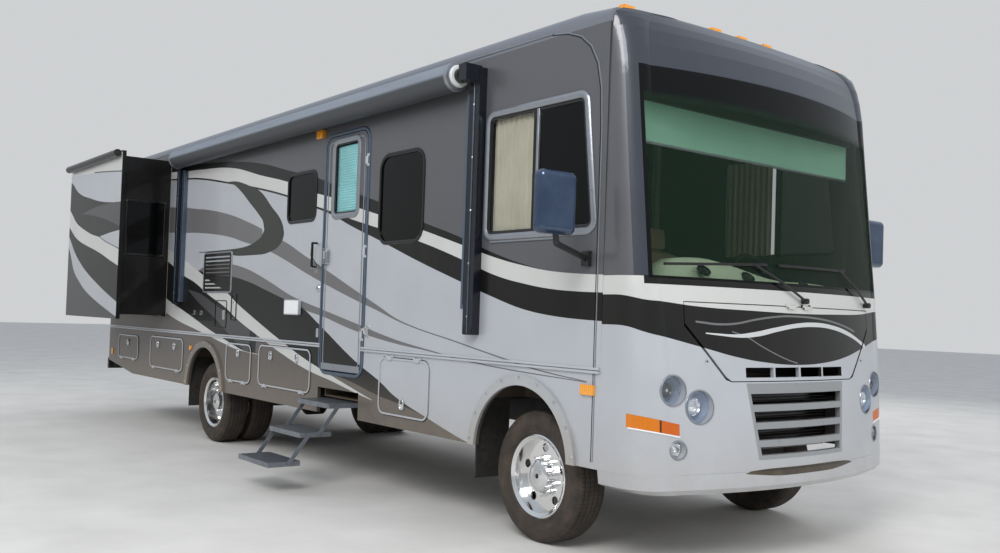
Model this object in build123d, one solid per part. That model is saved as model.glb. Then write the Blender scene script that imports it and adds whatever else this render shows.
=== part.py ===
from build123d import *
import math
import os

os.makedirs("parts", exist_ok=True)

# Millimetres. Z up, front towards -Y, curb side (with the entry door) at -X.
# The origin is on the ground, under the middle of the overall box.

# Driving lengths
wheelbase = 5283.0
front_overhang = 1200.0
rear_overhang = 3577.0
body_width = 2550.0
overall_length = front_overhang + wheelbase + rear_overhang
half_width = body_width / 2
front_y = -overall_length / 2
rear_y = overall_length / 2
front_axle_y = front_y + front_overhang
rear_axle_y = front_axle_y + wheelbase

# Clearances
seat_gap = 0.3
move_gap = 6.0
pin_gap = 0.06

# Body levels
skirt_bottom_z = 560.0
floor_under_z = 870.0
floor_thickness = 50.0
floor_top_z = floor_under_z + floor_thickness
belt_z = 1110.0
wall_height = 2070.0
wall_top_z = belt_z + wall_height
roof_rise = 165.0
roof_front_drop = 45.0
roof_ramp = 280.0
roof_top_z = wall_top_z + roof_rise

# Body shell
wall_thickness = 50.0
skirt_thickness = 30.0
tail_slope_length = 974.0
tail_slope_rise = 125.0
cap_depth = 550.0
cap_thickness = 35.0
crown_thinning = 0.8
glass_thickness = 12.0
pane_thickness = 8.0
pane_setback = 8.0
bumper_reach = 60.0
tail_corner_radius = 120.0
tail_skin = 60.0
cap_seam_y = front_y + cap_depth
tail_y = rear_y - bumper_reach
tail_seam_y = tail_y - tail_corner_radius

# Wheels
tyre_radius = 419.0
tyre_width = 245.0
rim_bead_radius = 247.0
rim_lip = 18.0
rim_flange_radius = rim_bead_radius + rim_lip
hand_hole_radius = 28.0
hand_hole_pitch = 178.0
wheel_inset = 210.0
dual_inset = 195.0
dual_spacing = 285.0
front_wheel_x = half_width - wheel_inset
dual_outer_x = half_width - dual_inset
dual_inner_x = dual_outer_x - dual_spacing
hub_bore_radius = 42.0
stub_radius = hub_bore_radius - pin_gap
kingpin_offset = 225.0
kingpin_x = front_wheel_x - kingpin_offset
kingpin_radius = 14.0

# Frame
rail_centre_x = 430.0
rail_width = 76.0
rail_height = 220.0
rail_low_z = 640.0
rail_top_z = rail_low_z + rail_height
rail_web = 8.0
jack_pad_thick = 14.0
frame_start = 330.0
frame_front_y = front_y + frame_start
frame_rear_y = tail_seam_y - 20.0

# Wheel arches
arch_clear = 51.0
arch_radius = tyre_radius + arch_clear
arch_centre_z = tyre_radius + 111.0
arch_shift = 60.0
flare_width = 62.0
flare_proud = 22.0
housing_sheet = 12.0
front_arch_y = front_axle_y + arch_shift
rear_arch_y = rear_axle_y + arch_shift

# Entry door and steps
door_share = 0.4577
door_width = 685.0
door_height = 1975.0
door_corner = 90.0
door_thick = 42.0
door_mid_y = front_axle_y + door_share * wheelbase
door_y0 = door_mid_y - door_width / 2
door_y1 = door_mid_y + door_width / 2
door_z0 = floor_top_z + 5.0
door_z1 = door_z0 + door_height
door_glass_height = 610.0
door_glass_y0 = door_y0 + 150.0
door_glass_y1 = door_y1 - 140.0
door_glass_z1 = door_z1 - 55.0
door_glass_z0 = door_glass_z1 - door_glass_height
well_depth = 345.0
well_floor_z = 700.0
well_sheet = 12.0
well_y0 = door_y0 + 20.0
well_y1 = door_y1 - 20.0
well_x = half_width - wall_thickness - well_depth + 20.0
step_width = 550.0
step_depth = 270.0
step_plate = 38.0
step_mid_y = door_mid_y + 62.5
step_y0 = step_mid_y - step_width / 2
step_y1 = step_mid_y + step_width / 2
step_top_z = (685.0, 465.0, 250.0)
step_outer_x = (-half_width - 200.0, -half_width - 445.0, -half_width - 705.0)
step_pin_radius = 8.0
step_pin_drop = 22.0
step_pin_out = 14.0
strap_thick = 7.0
strap_half = 16.0
strap_gap = 6.0
link_reach_x = -160.0
link_reach_z = -213.0

# Hinges
hinge_pin = 3.0
hinge_barrel = 6.0
hinge_half = 30.0
hinge_ear = 20.0
hinge_out = 10.0
hinge_back = 7.0

# Stations along the body between the axles and behind them
louvre_y0 = rear_arch_y - 613.0
louvre_y1 = louvre_y0 + 725.0
louvre_z0 = belt_z + 480.0
louvre_height = 400.0

# Side windows: name, side (-1 curb, +1 road), middle y, width, low z, height, corner radius, front rake
WINDOWS = (
    ("cockpit_curb", -1, front_axle_y - 37.5, 1025.0, belt_z + 860.0, 795.0, 45.0, 95.0),
    ("cockpit_road", 1, front_axle_y - 37.5, 1025.0, belt_z + 860.0, 795.0, 45.0, 95.0),
    ("saloon_curb", -1, door_y0 - 510.0, 610.0, belt_z + 860.0, 680.0, 110.0, 0.0),
    ("galley_curb", -1, door_y1 + 460.0, 540.0, belt_z + 1110.0, 430.0, 70.0, 0.0),
    ("bath_road", 1, rear_axle_y + 97.0, 500.0, belt_z + 1110.0, 430.0, 70.0, 0.0),
    ("bed_road", 1, rear_axle_y + 1697.0, 900.0, belt_z + 860.0, 680.0, 110.0, 0.0),
)

# Rear window: width, height, middle z, corner radius
REAR_WINDOW = (1100.0, 520.0, belt_z + 1220.0, 90.0)

# Storage doors: name, side, middle y, width, low z, high z, hinge edge (-1 bottom, +1 top)
BAYS = (
    ("a", -1, rear_axle_y + 2612.0, 770.0, skirt_bottom_z + 180.0, belt_z - 70.0, -1),
    ("b", -1, rear_axle_y + 1239.5, 1075.0, skirt_bottom_z + 130.0, belt_z - 50.0, -1),
    ("c", -1, rear_axle_y - 810.5, 605.0, skirt_bottom_z + 130.0, belt_z - 37.0, -1),
    ("d", -1, front_axle_y + 0.655 * wheelbase, 1060.0, skirt_bottom_z + 140.0, belt_z - 25.0, -1),
    ("e", -1, front_axle_y + 1442.5, 685.0, skirt_bottom_z + 90.0, belt_z - 25.0, 1),
    ("f", 1, front_axle_y + 0.555 * wheelbase, 1200.0, skirt_bottom_z + 130.0, belt_z - 50.0, -1),
    ("g", 1, rear_axle_y + 1239.5, 1075.0, skirt_bottom_z + 130.0, belt_z - 50.0, -1),
)
bay_corner = 75.0
bay_depth = 420.0
bay_sheet = 12.0
bay_margin = 14.0
bay_rim = 14.0
bay_proud = 9.0

# Slide-out rooms: name, side, middle y, length, depth outside the wall
SLIDES = (
    ("curb", -1, rear_axle_y + 2317.0, 1990.0, 580.0),
    ("road", 1, front_axle_y + 0.545 * wheelbase, 3300.0, 620.0),
)
slide_z0 = belt_z + 200.0
slide_z1 = wall_top_z - 65.0
slide_wall = 45.0
slide_flange = 52.0
slide_clear = 10.0
slide_inside = 95.0
topper_radius = 42.5
slide_glass_z0 = belt_z + 890.0
slide_glass_height = 610.0
slide_glass_near = 55.0
slide_glass_far = 95.0
road_glass_width = 1800.0
road_glass_height = 700.0
road_glass_z0 = belt_z + 840.0
road_glass_corner = 110.0

# Nose opening levels and widths
glass_z0 = belt_z + 565.0
glass_z1 = wall_top_z - 255.0
glass_inset = 103.0
hood_z_top = belt_z + 435.0
hood_z_bend = belt_z + 315.0
hood_z_low = belt_z - 18.0
hood_half_top = 945.0
hood_half_low = 655.0
hood_corner = 40.0
hood_side_slack = 16.0
lid_thickness = 24.0
slot_z0 = hood_z_low + 20.0
slot_height = 60.0
slot_half = 500.0
grille_z_top = hood_z_low - 14.0
grille_z_low = skirt_bottom_z + 68.0
grille_half_top = 500.0
grille_half_low = 430.0
grille_frame = 26.0
grille_bar = 40.0
grille_bars = 4
bumper_low_z = 450.0

# Wipers: pivot x, x where the arm holds the blade, middle x of the blade, rise of its left and right end
WIPERS = (
    (45.0, -415.0, -690.0, 85.0, 120.0),
    (912.0, 500.0, 190.0, 122.0, 128.0),
)
wiper_hub_drop = 90.0
wiper_hub_radius = 18.0
wiper_hub_long = 40.0
wiper_arm_radius = 8.0
wiper_knee_out = 34.0
wiper_blade_half = 385.0
wiper_blade_thick = 16.0

# Nose levels: z, side inset, gap from the seam to the side end, then the corner's inset from the widest side,
# and the shares of the cap's depth at which the corner and the middle stand in front of the seam
CAP_LEVELS = (
    (skirt_bottom_z + 5.0, 0.0, 120.0, 215.0, 0.6727, 0.9636),
    (belt_z + 30.0, 0.0, 125.0, 215.0, 0.6182, 0.8455),
    (belt_z + 550.0, 3.0, 95.0, 185.0, 0.5182, 0.7909),
    (glass_z1 + 5.0, 9.0, 20.0, 190.0, 0.2636, 0.5636),
    (wall_top_z - 120.0, 12.0, 12.0, 200.0, 0.2218, 0.4709),
    (wall_top_z - 25.0, 17.0, 7.0, 218.0, 0.1764, 0.3600),
    (wall_top_z + 35.0, 26.0, 5.0, 250.0, 0.1327, 0.2618),
    (wall_top_z + 70.0, 45.0, 3.0, 290.0, 0.0964, 0.1855),
    (wall_top_z + 98.0, 100.0, 2.0, 340.0, 0.0655, 0.1236),
    (roof_top_z - roof_front_drop - 3.0, 330.0, 2.0, 560.0, 0.0436, 0.0836),
)

# Lamps on the nose: inset from the side, z, radius
HEADLAMPS = (
    (235.0, belt_z - 70.0, 82.0),
    (415.0, belt_z - 165.0, 92.0),
)
FOG_LAMP = (265.0, skirt_bottom_z + 145.0, 48.0)
lamp_depth = 120.0
turn_inset = 13.0
turn_length = 262.0

# Rolled awning
awning_radius = 100.0
awning_out = 112.0
awning_z = wall_top_z - 114.0
awning_y0 = front_axle_y + 710.0
awning_y1 = rear_axle_y + 827.0
awning_arm = 110.0
awning_gap = 75.0
arm_thick = 62.0

# Porch lamp beside the entry door, with its top tucked behind the roll
porch_thick = 30.0
porch_length = 110.0
porch_height = 70.0
porch_tuck = 20.0

# Rear end
tail_lamp_inset = 190.0
tail_lamp_width = 130.0
tail_lamp_z0 = belt_z - 110.0
tail_lamp_height = 330.0
bumper_z0 = skirt_bottom_z
bumper_z1 = skirt_bottom_z + 140.0
receiver_half = 32.0
receiver_wall = 6.0
receiver_z = 502.0
hitch_pin_radius = 8.2
hitch_pin_back = 80.0

# Roof gear: x, middle y, length, width, height above the roof, edge chamfer
ROOF_UNITS = (
    (0.0, rear_axle_y + 1087.0, 860.0, 700.0, 320.0, 70.0),
    (0.0, front_axle_y + 1530.0, 860.0, 700.0, 320.0, 70.0),
    (-600.0, rear_axle_y + 2047.0, 400.0, 400.0, 95.0, 25.0),
    (500.0, rear_axle_y - 953.0, 400.0, 400.0, 95.0, 25.0),
    (-300.0, front_axle_y + 3130.0, 400.0, 400.0, 95.0, 25.0),
)


def box(x0, x1, y0, y1, z0, z1):
    """Box from its six faces."""
    size = (abs(x1 - x0), abs(y1 - y0), abs(z1 - z0))
    middle = ((x0 + x1) / 2, (y0 + y1) / 2, (z0 + z1) / 2)
    return Pos(*middle) * Box(*size)


def side_plate(side, x_out, x_in, y0, y1, z0, z1, corner):
    """Plate parallel to a side wall with rounded corners."""
    face = RectangleRounded(y1 - y0, z1 - z0, corner)
    middle = ((y0 + y1) / 2, (z0 + z1) / 2)
    plane = Plane(origin=(side * x_out, middle[0], middle[1]), x_dir=(0, 1, 0), z_dir=(1, 0, 0))
    return extrude(plane * face, amount=side * (x_in - x_out))


def raked_plate(side, x_out, x_in, y0, y1, z0, z1, corner, rake):
    """Plate as above whose front edge leans back by the rake towards its top."""
    face = Polygon((y0, z0), (y1, z0), (y1, z1), (y0 + rake, z1), align=None)
    face = fillet(face.vertices(), corner)
    plane = Plane(origin=(side * x_out, 0, 0), x_dir=(0, 1, 0), z_dir=(1, 0, 0))
    return extrude(plane * face, amount=side * (x_in - x_out))


def rod(p, q, radius):
    """Round bar between two points."""
    a = Vector(*p)
    b = Vector(*q)
    plane = Plane(origin=a, z_dir=(b - a).normalized())
    return extrude(plane * Circle(radius), amount=(b - a).length)


def prism_x(points, x0, x1):
    """Extrude a polygon given as (y, z) from x0 to x1."""
    wire = Polyline(*[(x0, y, z) for y, z in points], close=True)
    return extrude(make_face(wire), amount=x1 - x0, dir=(1, 0, 0))


def prism_y(points, y0, y1):
    """Extrude a polygon given as (x, z) from y0 to y1."""
    wire = Polyline(*[(x, y0, z) for x, z in points], close=True)
    return extrude(make_face(wire), amount=y1 - y0, dir=(0, 1, 0))


def mirrored(shape):
    """The same shape on the other side of the middle plane."""
    return mirror(shape, about=Plane.YZ)


def joined(shapes):
    """One fused shape from a list."""
    result = shapes[0]
    for shape in shapes[1:]:
        result = result + shape
    return result


def gathered(shapes):
    """Separate solids of a list of shapes kept in one piece."""
    return Compound(children=[solid for shape in shapes for solid in shape.solids()])


def cap_outline(level, inset):
    """Closed plan outline of the nose at one level, set in by inset."""
    z, side_inset, side_gap, corner_inset, corner_share, middle_share = level
    side_x = half_width - side_inset - inset
    corner_y = cap_seam_y - corner_share * cap_depth + inset * 0.9
    a = (side_x, cap_seam_y - side_gap + inset * 0.4, z)
    b = (half_width - corner_inset - inset * 0.5, corner_y, z)
    k = (side_x, corner_y, z)
    m = tuple(0.4142 * k[i] + 0.2929 * a[i] + 0.2929 * b[i] for i in range(3))
    c = (0.0, cap_seam_y - middle_share * cap_depth + inset, z)
    back = cap_seam_y + inset * 0.5
    left = ThreePointArc(a, m, b)
    front = ThreePointArc(b, c, (-b[0], b[1], z))
    right = ThreePointArc((-b[0], b[1], z), (-m[0], m[1], z), (-a[0], a[1], z))
    rest = Polyline((-a[0], a[1], z), (-a[0], back, z), (a[0], back, z), a)
    return make_face(Curve() + [left, front, right, rest])


def cap_body(inset):
    """Solid nose lofted through the levels; above the glass an inset also lowers them."""
    rows = []
    for level in CAP_LEVELS:
        share = max(0.0, level[0] - glass_z1 - 5.0) / (CAP_LEVELS[-1][0] - glass_z1)
        rows.append((level[0] - crown_thinning * inset * share,) + level[1:])
    return loft([cap_outline(row, inset) for row in rows], ruled=True)


def nose_y(x, z):
    """Y of the nose surface in front of the corner arcs."""
    above = [row for row in CAP_LEVELS if row[0] >= z][0]
    below = CAP_LEVELS[CAP_LEVELS.index(above) - 1]
    t = (z - below[0]) / (above[0] - below[0])
    corner_x = half_width - below[3] - t * (above[3] - below[3])
    corner_lead = cap_depth * (below[4] + t * (above[4] - below[4]))
    middle_lead = cap_depth * (below[5] + t * (above[5] - below[5]))
    sag = middle_lead - corner_lead
    bend = (corner_x ** 2 + sag ** 2) / (2 * sag)
    return cap_seam_y - middle_lead + bend - math.sqrt(bend ** 2 - x ** 2)


def hood_outline(grow, slack):
    """Outline (x, z) of the hood panel, grown outwards, with more room under its slanted sides."""
    low = hood_z_low - grow
    half = (
        (hood_half_top + grow, hood_z_top + grow),
        (hood_half_top + grow, hood_z_bend - slack),
        (hood_half_low + grow, hood_z_low + hood_corner * 0.6 - slack),
        (hood_half_low - hood_corner, low),
    )
    return half + tuple((-x, z) for x, z in reversed(half))


def grille_outline(grow):
    """Outline (x, z) of the grille opening, grown outwards."""
    return (
        (-grille_half_top - grow, grille_z_top + grow),
        (grille_half_top + grow, grille_z_top + grow),
        (grille_half_low + grow, grille_z_low - grow),
        (-grille_half_low - grow, grille_z_low - grow),
    )


def turn_lamp_block(grow):
    """Block that holds the slanted turn lamp on the curb side."""
    x_out = -half_width + turn_inset - grow
    x_in = -half_width + turn_inset + turn_length + grow
    points = (
        (x_out, belt_z - 205.0 + grow),
        (x_in, belt_z - 260.0 + grow),
        (x_in, belt_z - 325.0 - grow),
        (x_out, belt_z - 280.0 - grow),
    )
    return prism_y(points, front_y - 200.0, cap_seam_y - 80.0)


def lamp_place(row):
    """Middle of a nose lamp and the surface there."""
    inset, z, radius = row
    x = half_width - inset
    return x, z, radius, nose_y(min(x, half_width - 240.0), z)


def lamp_hole(row, grow):
    """Round bore along Y for a lamp on both sides."""
    x, z, radius, face_y = lamp_place(row)
    one = rod((x, front_y - 200.0, z), (x, face_y + lamp_depth + 60.0, z), radius + grow)
    return one + mirrored(one)


def nose_block(points):
    """Polygon (x, z) run through the front of the nose."""
    return prism_y(points, front_y - 200.0, cap_seam_y - 60.0)


nose_outer = cap_body(0.0)
nose_glass_in = cap_body(glass_thickness)
nose_lid_in = cap_body(lid_thickness)
nose_inner = cap_body(cap_thickness)
glass_half_x = half_width - glass_inset

# Hood hinge line in front of the gap above the hood
hood_hinge_z = hood_z_top + move_gap / 2
hood_hinge_y = nose_y(0.0, hood_hinge_z) - hinge_barrel - 1.5
hood_hinge_x = 80.0


def hinge_x(x_mid, y, z, part):
    """Barrel or ears of a hinge along X at the hood's top edge."""
    reach = hinge_half if part == "barrel" else hinge_half + hinge_ear
    bar = rod((x_mid - reach, y, z), (x_mid + reach, y, z), hinge_barrel)
    up = -1.0 if part == "barrel" else 1.0
    edge = z + up * move_gap / 2
    leaf = box(x_mid - reach, x_mid + reach, y - hinge_barrel, y + hinge_barrel + 9.0, edge, edge + up * 12.0)
    bar = bar + box(x_mid - reach, x_mid + reach, y - hinge_barrel, y, z, edge) + leaf
    if part == "barrel":
        return bar - rod((x_mid - reach, y, z), (x_mid + reach, y, z), hinge_pin + pin_gap)
    slot = hinge_half + seat_gap
    bar = bar - box(x_mid - slot, x_mid + slot, y - 20.0, y + 30.0, z - 20.0, z + 20.0)
    return bar + rod((x_mid - reach, y, z), (x_mid + reach, y, z), hinge_pin)


def make_front_cap():
    """Moulded nose and brow with the glass, hood and lamp openings."""
    shell = nose_outer - nose_inner
    shell = shell - box(-glass_half_x, glass_half_x, front_y - 200.0, cap_seam_y + 180.0, glass_z0, glass_z1)
    shell = shell - nose_block(hood_outline(move_gap, hood_side_slack))
    shell = shell - nose_block(grille_outline(0.0))
    for row in HEADLAMPS + (FOG_LAMP,):
        shell = shell - lamp_hole(row, seat_gap)
    turn = turn_lamp_block(seat_gap)
    shell = shell - turn - mirrored(turn)
    for x in (-hood_hinge_x, hood_hinge_x):
        shell = shell + hinge_x(x, hood_hinge_y, hood_hinge_z, "ears")
    return shell


def make_windshield():
    """Curved glass of the nose."""
    skin = nose_outer - nose_glass_in
    g = seat_gap
    keep = box(-glass_half_x + g, glass_half_x - g, front_y - 200.0, cap_seam_y - 80.0, glass_z0 + g, glass_z1 - g)
    return skin & keep


def make_hood_lid():
    """Hinged panel between the glass and the grille, with its air slot."""
    skin = nose_outer - nose_lid_in
    lid = skin & nose_block(hood_outline(0.0, 0.0))
    lid = lid - box(-slot_half, slot_half, front_y - 200.0, cap_seam_y - 60.0, slot_z0, slot_z0 + slot_height)
    rib = slot_half / 2
    for x in (-rib, 0.0, rib):
        lid = lid + (skin & box(x - 8.0, x + 8.0, front_y - 200.0, cap_seam_y - 60.0,
                                slot_z0 - 7.0, slot_z0 + slot_height + 8.0))
    for x in (-hood_hinge_x, hood_hinge_x):
        ear = hinge_half + hinge_ear + 1.0
        notch = box(x - ear, x + ear, hood_hinge_y - 20.0, hood_hinge_y + hinge_barrel + 1.0,
                    hood_hinge_z - 8.0, hood_hinge_z + 8.0)
        lid = lid - notch + hinge_x(x, hood_hinge_y, hood_hinge_z, "barrel")
    return lid


def make_grille():
    """Frame and bars in the nose opening."""
    skin = nose_outer - nose_inner
    fill = skin & nose_block(grille_outline(-seat_gap))
    ring = fill - nose_block(grille_outline(-grille_frame))
    pitch = (grille_z_top - grille_z_low) / (grille_bars + 0.3)
    parts = [ring]
    for i in range(grille_bars):
        z = grille_z_top - 42.0 - i * pitch
        parts.append(fill & box(-half_width, half_width, front_y - 200.0, cap_seam_y - 60.0,
                                z - grille_bar / 2, z + grille_bar / 2))
    return joined(parts)


def make_front_bumper():
    """Low valance under the nose."""
    top = skirt_bottom_z + 5.0
    lip = (CAP_LEVELS[0][1], CAP_LEVELS[0][2], CAP_LEVELS[0][3], CAP_LEVELS[0][4])
    rows = (
        (bumper_low_z, 95.0, 160.0, 275.0, lip[3], 0.9636),
        (bumper_low_z + 30.0, 13.0, lip[1], 225.0, lip[3] + 0.018, 1.0),
        (top - seat_gap, lip[0], lip[1], lip[2], lip[3], 0.9818),
    )
    outer = loft([cap_outline(row, 0.0) for row in rows], ruled=True)
    inner_rows = ((rows[0][0] - 10.0,) + rows[0][1:], rows[1], (rows[2][0] + 10.0,) + rows[2][1:])
    inner = loft([cap_outline(row, cap_thickness + 5.0) for row in inner_rows], ruled=True)
    return outer - inner


def make_headlamps():
    """Round lamps, fog lamps and the slanted turn lamps."""
    lamps = []
    for row in HEADLAMPS + (FOG_LAMP,):
        x, z, radius, face_y = lamp_place(row)
        barrel = rod((x, face_y + 14.0, z), (x, face_y + lamp_depth, z), radius)
        ball = Pos(x, face_y + 14.0 + radius * 1.35, z) * Sphere(radius * 1.6)
        lens = ball & rod((x, face_y - 20.0, z), (x, face_y + 60.0, z), radius)
        one = barrel + lens
        lamps.append(one)
        lamps.append(mirrored(one))
    turn = (nose_outer - nose_lid_in) & turn_lamp_block(0.0)
    lamps.append(turn)
    lamps.append(mirrored(turn))
    return gathered(lamps)


def wall_window_cut(side):
    """All window openings of one side wall."""
    cuts = []
    for name, at, middle, width, z0, height, corner, rake in WINDOWS:
        if at == side:
            cuts.append(raked_plate(side, half_width + 60.0, half_width - 120.0, middle - width / 2,
                                    middle + width / 2, z0, z0 + height, corner, rake))
    return joined(cuts)


def slide_span(side):
    """Low and high Y and depth of the slide-out on one side."""
    row = [row for row in SLIDES if row[1] == side][0]
    return row[2] - row[3] / 2, row[2] + row[3] / 2, row[4]


def door_cut(grow):
    """Space of the entry door with rounded top corners."""
    y0 = door_y0 - grow
    y1 = door_y1 + grow
    middle = door_z1 - 3 * door_corner
    block = box(-half_width - 80.0, -half_width + 120.0, y0, y1, door_z0 - grow, middle)
    top = side_plate(-1, half_width + 80.0, half_width - 120.0, y0, y1, middle - 3 * door_corner,
                     door_z1 + grow, door_corner + grow)
    return block + top


def hinge_z(y_edge, z_mid, part):
    """Barrel or ears of a hinge along Z at the entry door's front edge."""
    x = -half_width - hinge_out
    y = y_edge - hinge_back
    reach = hinge_half if part == "barrel" else hinge_half + hinge_ear
    bar = rod((x, y, z_mid - reach), (x, y, z_mid + reach), hinge_barrel)
    if part == "barrel":
        bar = bar + box(x, x - hinge_barrel, y, y_edge + 18.0, z_mid - reach, z_mid + reach)
        bar = bar + box(-half_width + 2.0, x, y_edge + 1.0, y_edge + 18.0, z_mid - reach, z_mid + reach)
        return bar - rod((x, y, z_mid - reach), (x, y, z_mid + reach), hinge_pin + pin_gap)
    bar = bar + box(-half_width + 2.0, x, y - 24.0, y, z_mid - reach, z_mid + reach)
    slot = hinge_half + seat_gap
    bar = bar - box(x - 20.0, x + 20.0, y - 30.0, y + 30.0, z_mid - slot, z_mid + slot)
    return bar + rod((x, y, z_mid - reach), (x, y, z_mid + reach), hinge_pin)


door_hinge_z = (door_z0 + 320.0, (door_z0 + door_z1) / 2, door_z1 - 250.0)


def make_side_wall(side):
    """Upper side wall from the belt to the roof."""
    x_out = side * half_width
    x_in = side * (half_width - wall_thickness)
    wall = box(x_out, x_in, cap_seam_y + seat_gap, tail_seam_y, belt_z, wall_top_z)
    wall = wall - wall_window_cut(side)
    y0, y1, depth = slide_span(side)
    c = slide_clear
    wall = wall - box(side * (half_width + 50.0), side * (half_width - 120.0), y0 - c, y1 + c,
                      slide_z0 - c, slide_z1 + c)
    for y in (y0 + 200.0, (y0 + y1) / 2, y1 - 200.0):
        wall = wall + box(x_out, x_in, y - 60.0, y + 60.0, slide_z0 - c - 1.0, slide_z0 - seat_gap)
    rail_out = side * (half_width + 14.0)
    for z in (belt_z + 4.0, belt_z + 24.0):
        wall = wall + box(x_out, rail_out, cap_seam_y + seat_gap, tail_seam_y, z, z + 14.0)
    if side < 0:
        wall = wall - door_cut(move_gap)
        vent = side_plate(-1, half_width + 8.0, half_width, louvre_y0, louvre_y1, louvre_z0,
                          louvre_z0 + louvre_height, 30.0)
        slats = 9
        for i in range(slats):
            z = louvre_z0 + 32.0 + i * (louvre_height - 40.0) / slats
            vent = vent - box(-half_width - 9.0, -half_width - 1.0, louvre_y0 + 40.0, louvre_y1 - 40.0, z, z + 16.0)
        wall = wall + vent
        box_y = door_y1 + 390.0
        wall = wall + side_plate(-1, half_width + 30.0, half_width, box_y, box_y + 290.0, belt_z + 270.0,
                                 belt_z + 406.0, 12.0)
        grab_x = -half_width - 60.0
        grab_y = door_y1 + 110.0
        grab_z = (belt_z + 690.0, belt_z + 900.0)
        wall = wall + rod((grab_x, grab_y, grab_z[0]), (grab_x, grab_y, grab_z[1]), 11.0)
        for z in grab_z:
            wall = wall + rod((-half_width + 5.0, grab_y, z), (grab_x, grab_y, z), 11.0)
        for z in door_hinge_z:
            wall = wall + hinge_z(door_y0, z, "ears")
    return wall


def arch_cut(side, middle_y, radius):
    """Round wheel opening through a skirt."""
    x0 = side * (half_width + 100.0)
    x1 = side * (half_width - 200.0)
    block = rod((x0, middle_y, arch_centre_z), (x1, middle_y, arch_centre_z), radius)
    return block + box(x0, x1, middle_y - radius, middle_y + radius, 0.0, arch_centre_z)


def bay_box(row, grow):
    """Low and high Y and Z of a storage door, grown outwards."""
    name, side, middle, width, z0, z1, hinge = row
    return middle - width / 2 - grow, middle + width / 2 + grow, z0 - grow, z1 + grow


def hinge_y(row, y_mid, part):
    """Barrel or ears of a storage door hinge along Y."""
    side = row[1]
    up = -row[6]
    edge = row[4] if row[6] < 0 else row[5]
    x = side * (half_width + hinge_out)
    z = edge - up * hinge_back
    reach = hinge_half if part == "barrel" else hinge_half + hinge_ear
    bar = rod((x, y_mid - reach, z), (x, y_mid + reach, z), hinge_barrel)
    tip = x + side * hinge_barrel
    if part == "barrel":
        bar = bar + box(x, tip, y_mid - reach, y_mid + reach, z, edge + up * 18.0)
        bar = bar + box(side * (half_width + 2.0), x, y_mid - reach, y_mid + reach, edge + up * 1.0, edge + up * 18.0)
        return bar - rod((x, y_mid - reach, z), (x, y_mid + reach, z), hinge_pin + pin_gap)
    bar = bar + box(side * (half_width - 2.0), x, y_mid - reach, y_mid + reach, z - up * 12.0, z)
    slot = hinge_half + seat_gap
    bar = bar - box(x - 20.0, x + 20.0, y_mid - slot, y_mid + slot, z - 28.0, z + 28.0)
    return bar + rod((x, y_mid - reach, z), (x, y_mid + reach, z), hinge_pin)


def bay_hinges(row):
    """Places of the two hinges of a storage door."""
    y0, y1, z0, z1 = bay_box(row, 0.0)
    return (y0 + 150.0, y1 - 150.0)


def make_skirts():
    """Lower side panels with arches and storage openings."""
    skirts = []
    slope_y = tail_seam_y - tail_slope_length
    for side in (-1, 1):
        x_out = side * half_width
        x_in = side * (half_width - skirt_thickness)
        skirt = box(x_out, x_in, cap_seam_y + seat_gap, tail_seam_y, skirt_bottom_z, belt_z - seat_gap)
        for middle_y in (front_arch_y, rear_arch_y):
            skirt = skirt - arch_cut(side, middle_y, arch_radius)
        slope = prism_x(((slope_y, skirt_bottom_z - 60.0), (tail_seam_y + 10.0, skirt_bottom_z - 60.0),
                         (tail_seam_y + 10.0, skirt_bottom_z + tail_slope_rise), (slope_y, skirt_bottom_z)),
                        side * half_width - 60.0, side * half_width + 60.0)
        skirt = skirt - slope
        for row in BAYS:
            if row[1] == side:
                y0, y1, z0, z1 = bay_box(row, move_gap)
                skirt = skirt - side_plate(side, half_width + 60.0, half_width - 100.0, y0, y1, z0, z1,
                                           bay_corner + move_gap)
                for y in bay_hinges(row):
                    skirt = skirt + hinge_y(row, y, "ears")
        if side < 0:
            skirt = skirt - door_cut(move_gap)
            skirt = skirt - box(-half_width - 50.0, -half_width + 100.0, door_y0 + 25.0, door_y1 + 30.0,
                                skirt_bottom_z - 60.0, well_floor_z + 75.0)
        skirts.append(skirt)
    return gathered(skirts)


def make_flares():
    """Trim around each wheel opening."""
    flares = []
    reach = arch_radius + flare_width
    for side in (-1, 1):
        for y in (front_arch_y, rear_arch_y):
            x0 = side * (half_width + seat_gap)
            x1 = side * (half_width + flare_proud)
            outer = rod((x0, y, arch_centre_z), (x1, y, arch_centre_z), reach)
            legs = box(x0, x1, y - reach, y + reach, skirt_bottom_z, arch_centre_z)
            keep = box(x0, x1, y - reach, y + reach, skirt_bottom_z, belt_z - 12.0)
            flares.append(((outer + legs) & keep) - arch_cut(side, y, arch_radius - 6.0))
    return gathered(flares)


def make_mud_flaps():
    """Flaps that hang behind the wheels."""
    flaps = []
    for side in (-1, 1):
        for arch_y, half in ((front_arch_y, 140.0), (rear_arch_y, 290.0)):
            y = arch_y + arch_radius + 22.0
            x_mid = side * (half_width - skirt_thickness - seat_gap - half)
            flaps.append(box(x_mid - half, x_mid + half, y, y + 10.0, tyre_radius - 89.0, floor_under_z - seat_gap))
    return Compound(children=flaps)


def make_storage_tubs():
    """Open boxes behind the storage doors."""
    tubs = []
    x_face = half_width - skirt_thickness - seat_gap
    for row in BAYS:
        side = row[1]
        y0, y1, z0, z1 = bay_box(row, bay_margin)
        top = min(z1, floor_under_z - seat_gap)
        outer = box(side * x_face, side * (x_face - bay_depth), y0 - bay_sheet, y1 + bay_sheet, z0 - bay_sheet, top)
        inner = box(side * (x_face + 1.0), side * (x_face - bay_depth + bay_sheet), y0, y1, z0, top - bay_sheet)
        tubs.append(outer - inner)
    return Compound(children=tubs)


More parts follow.
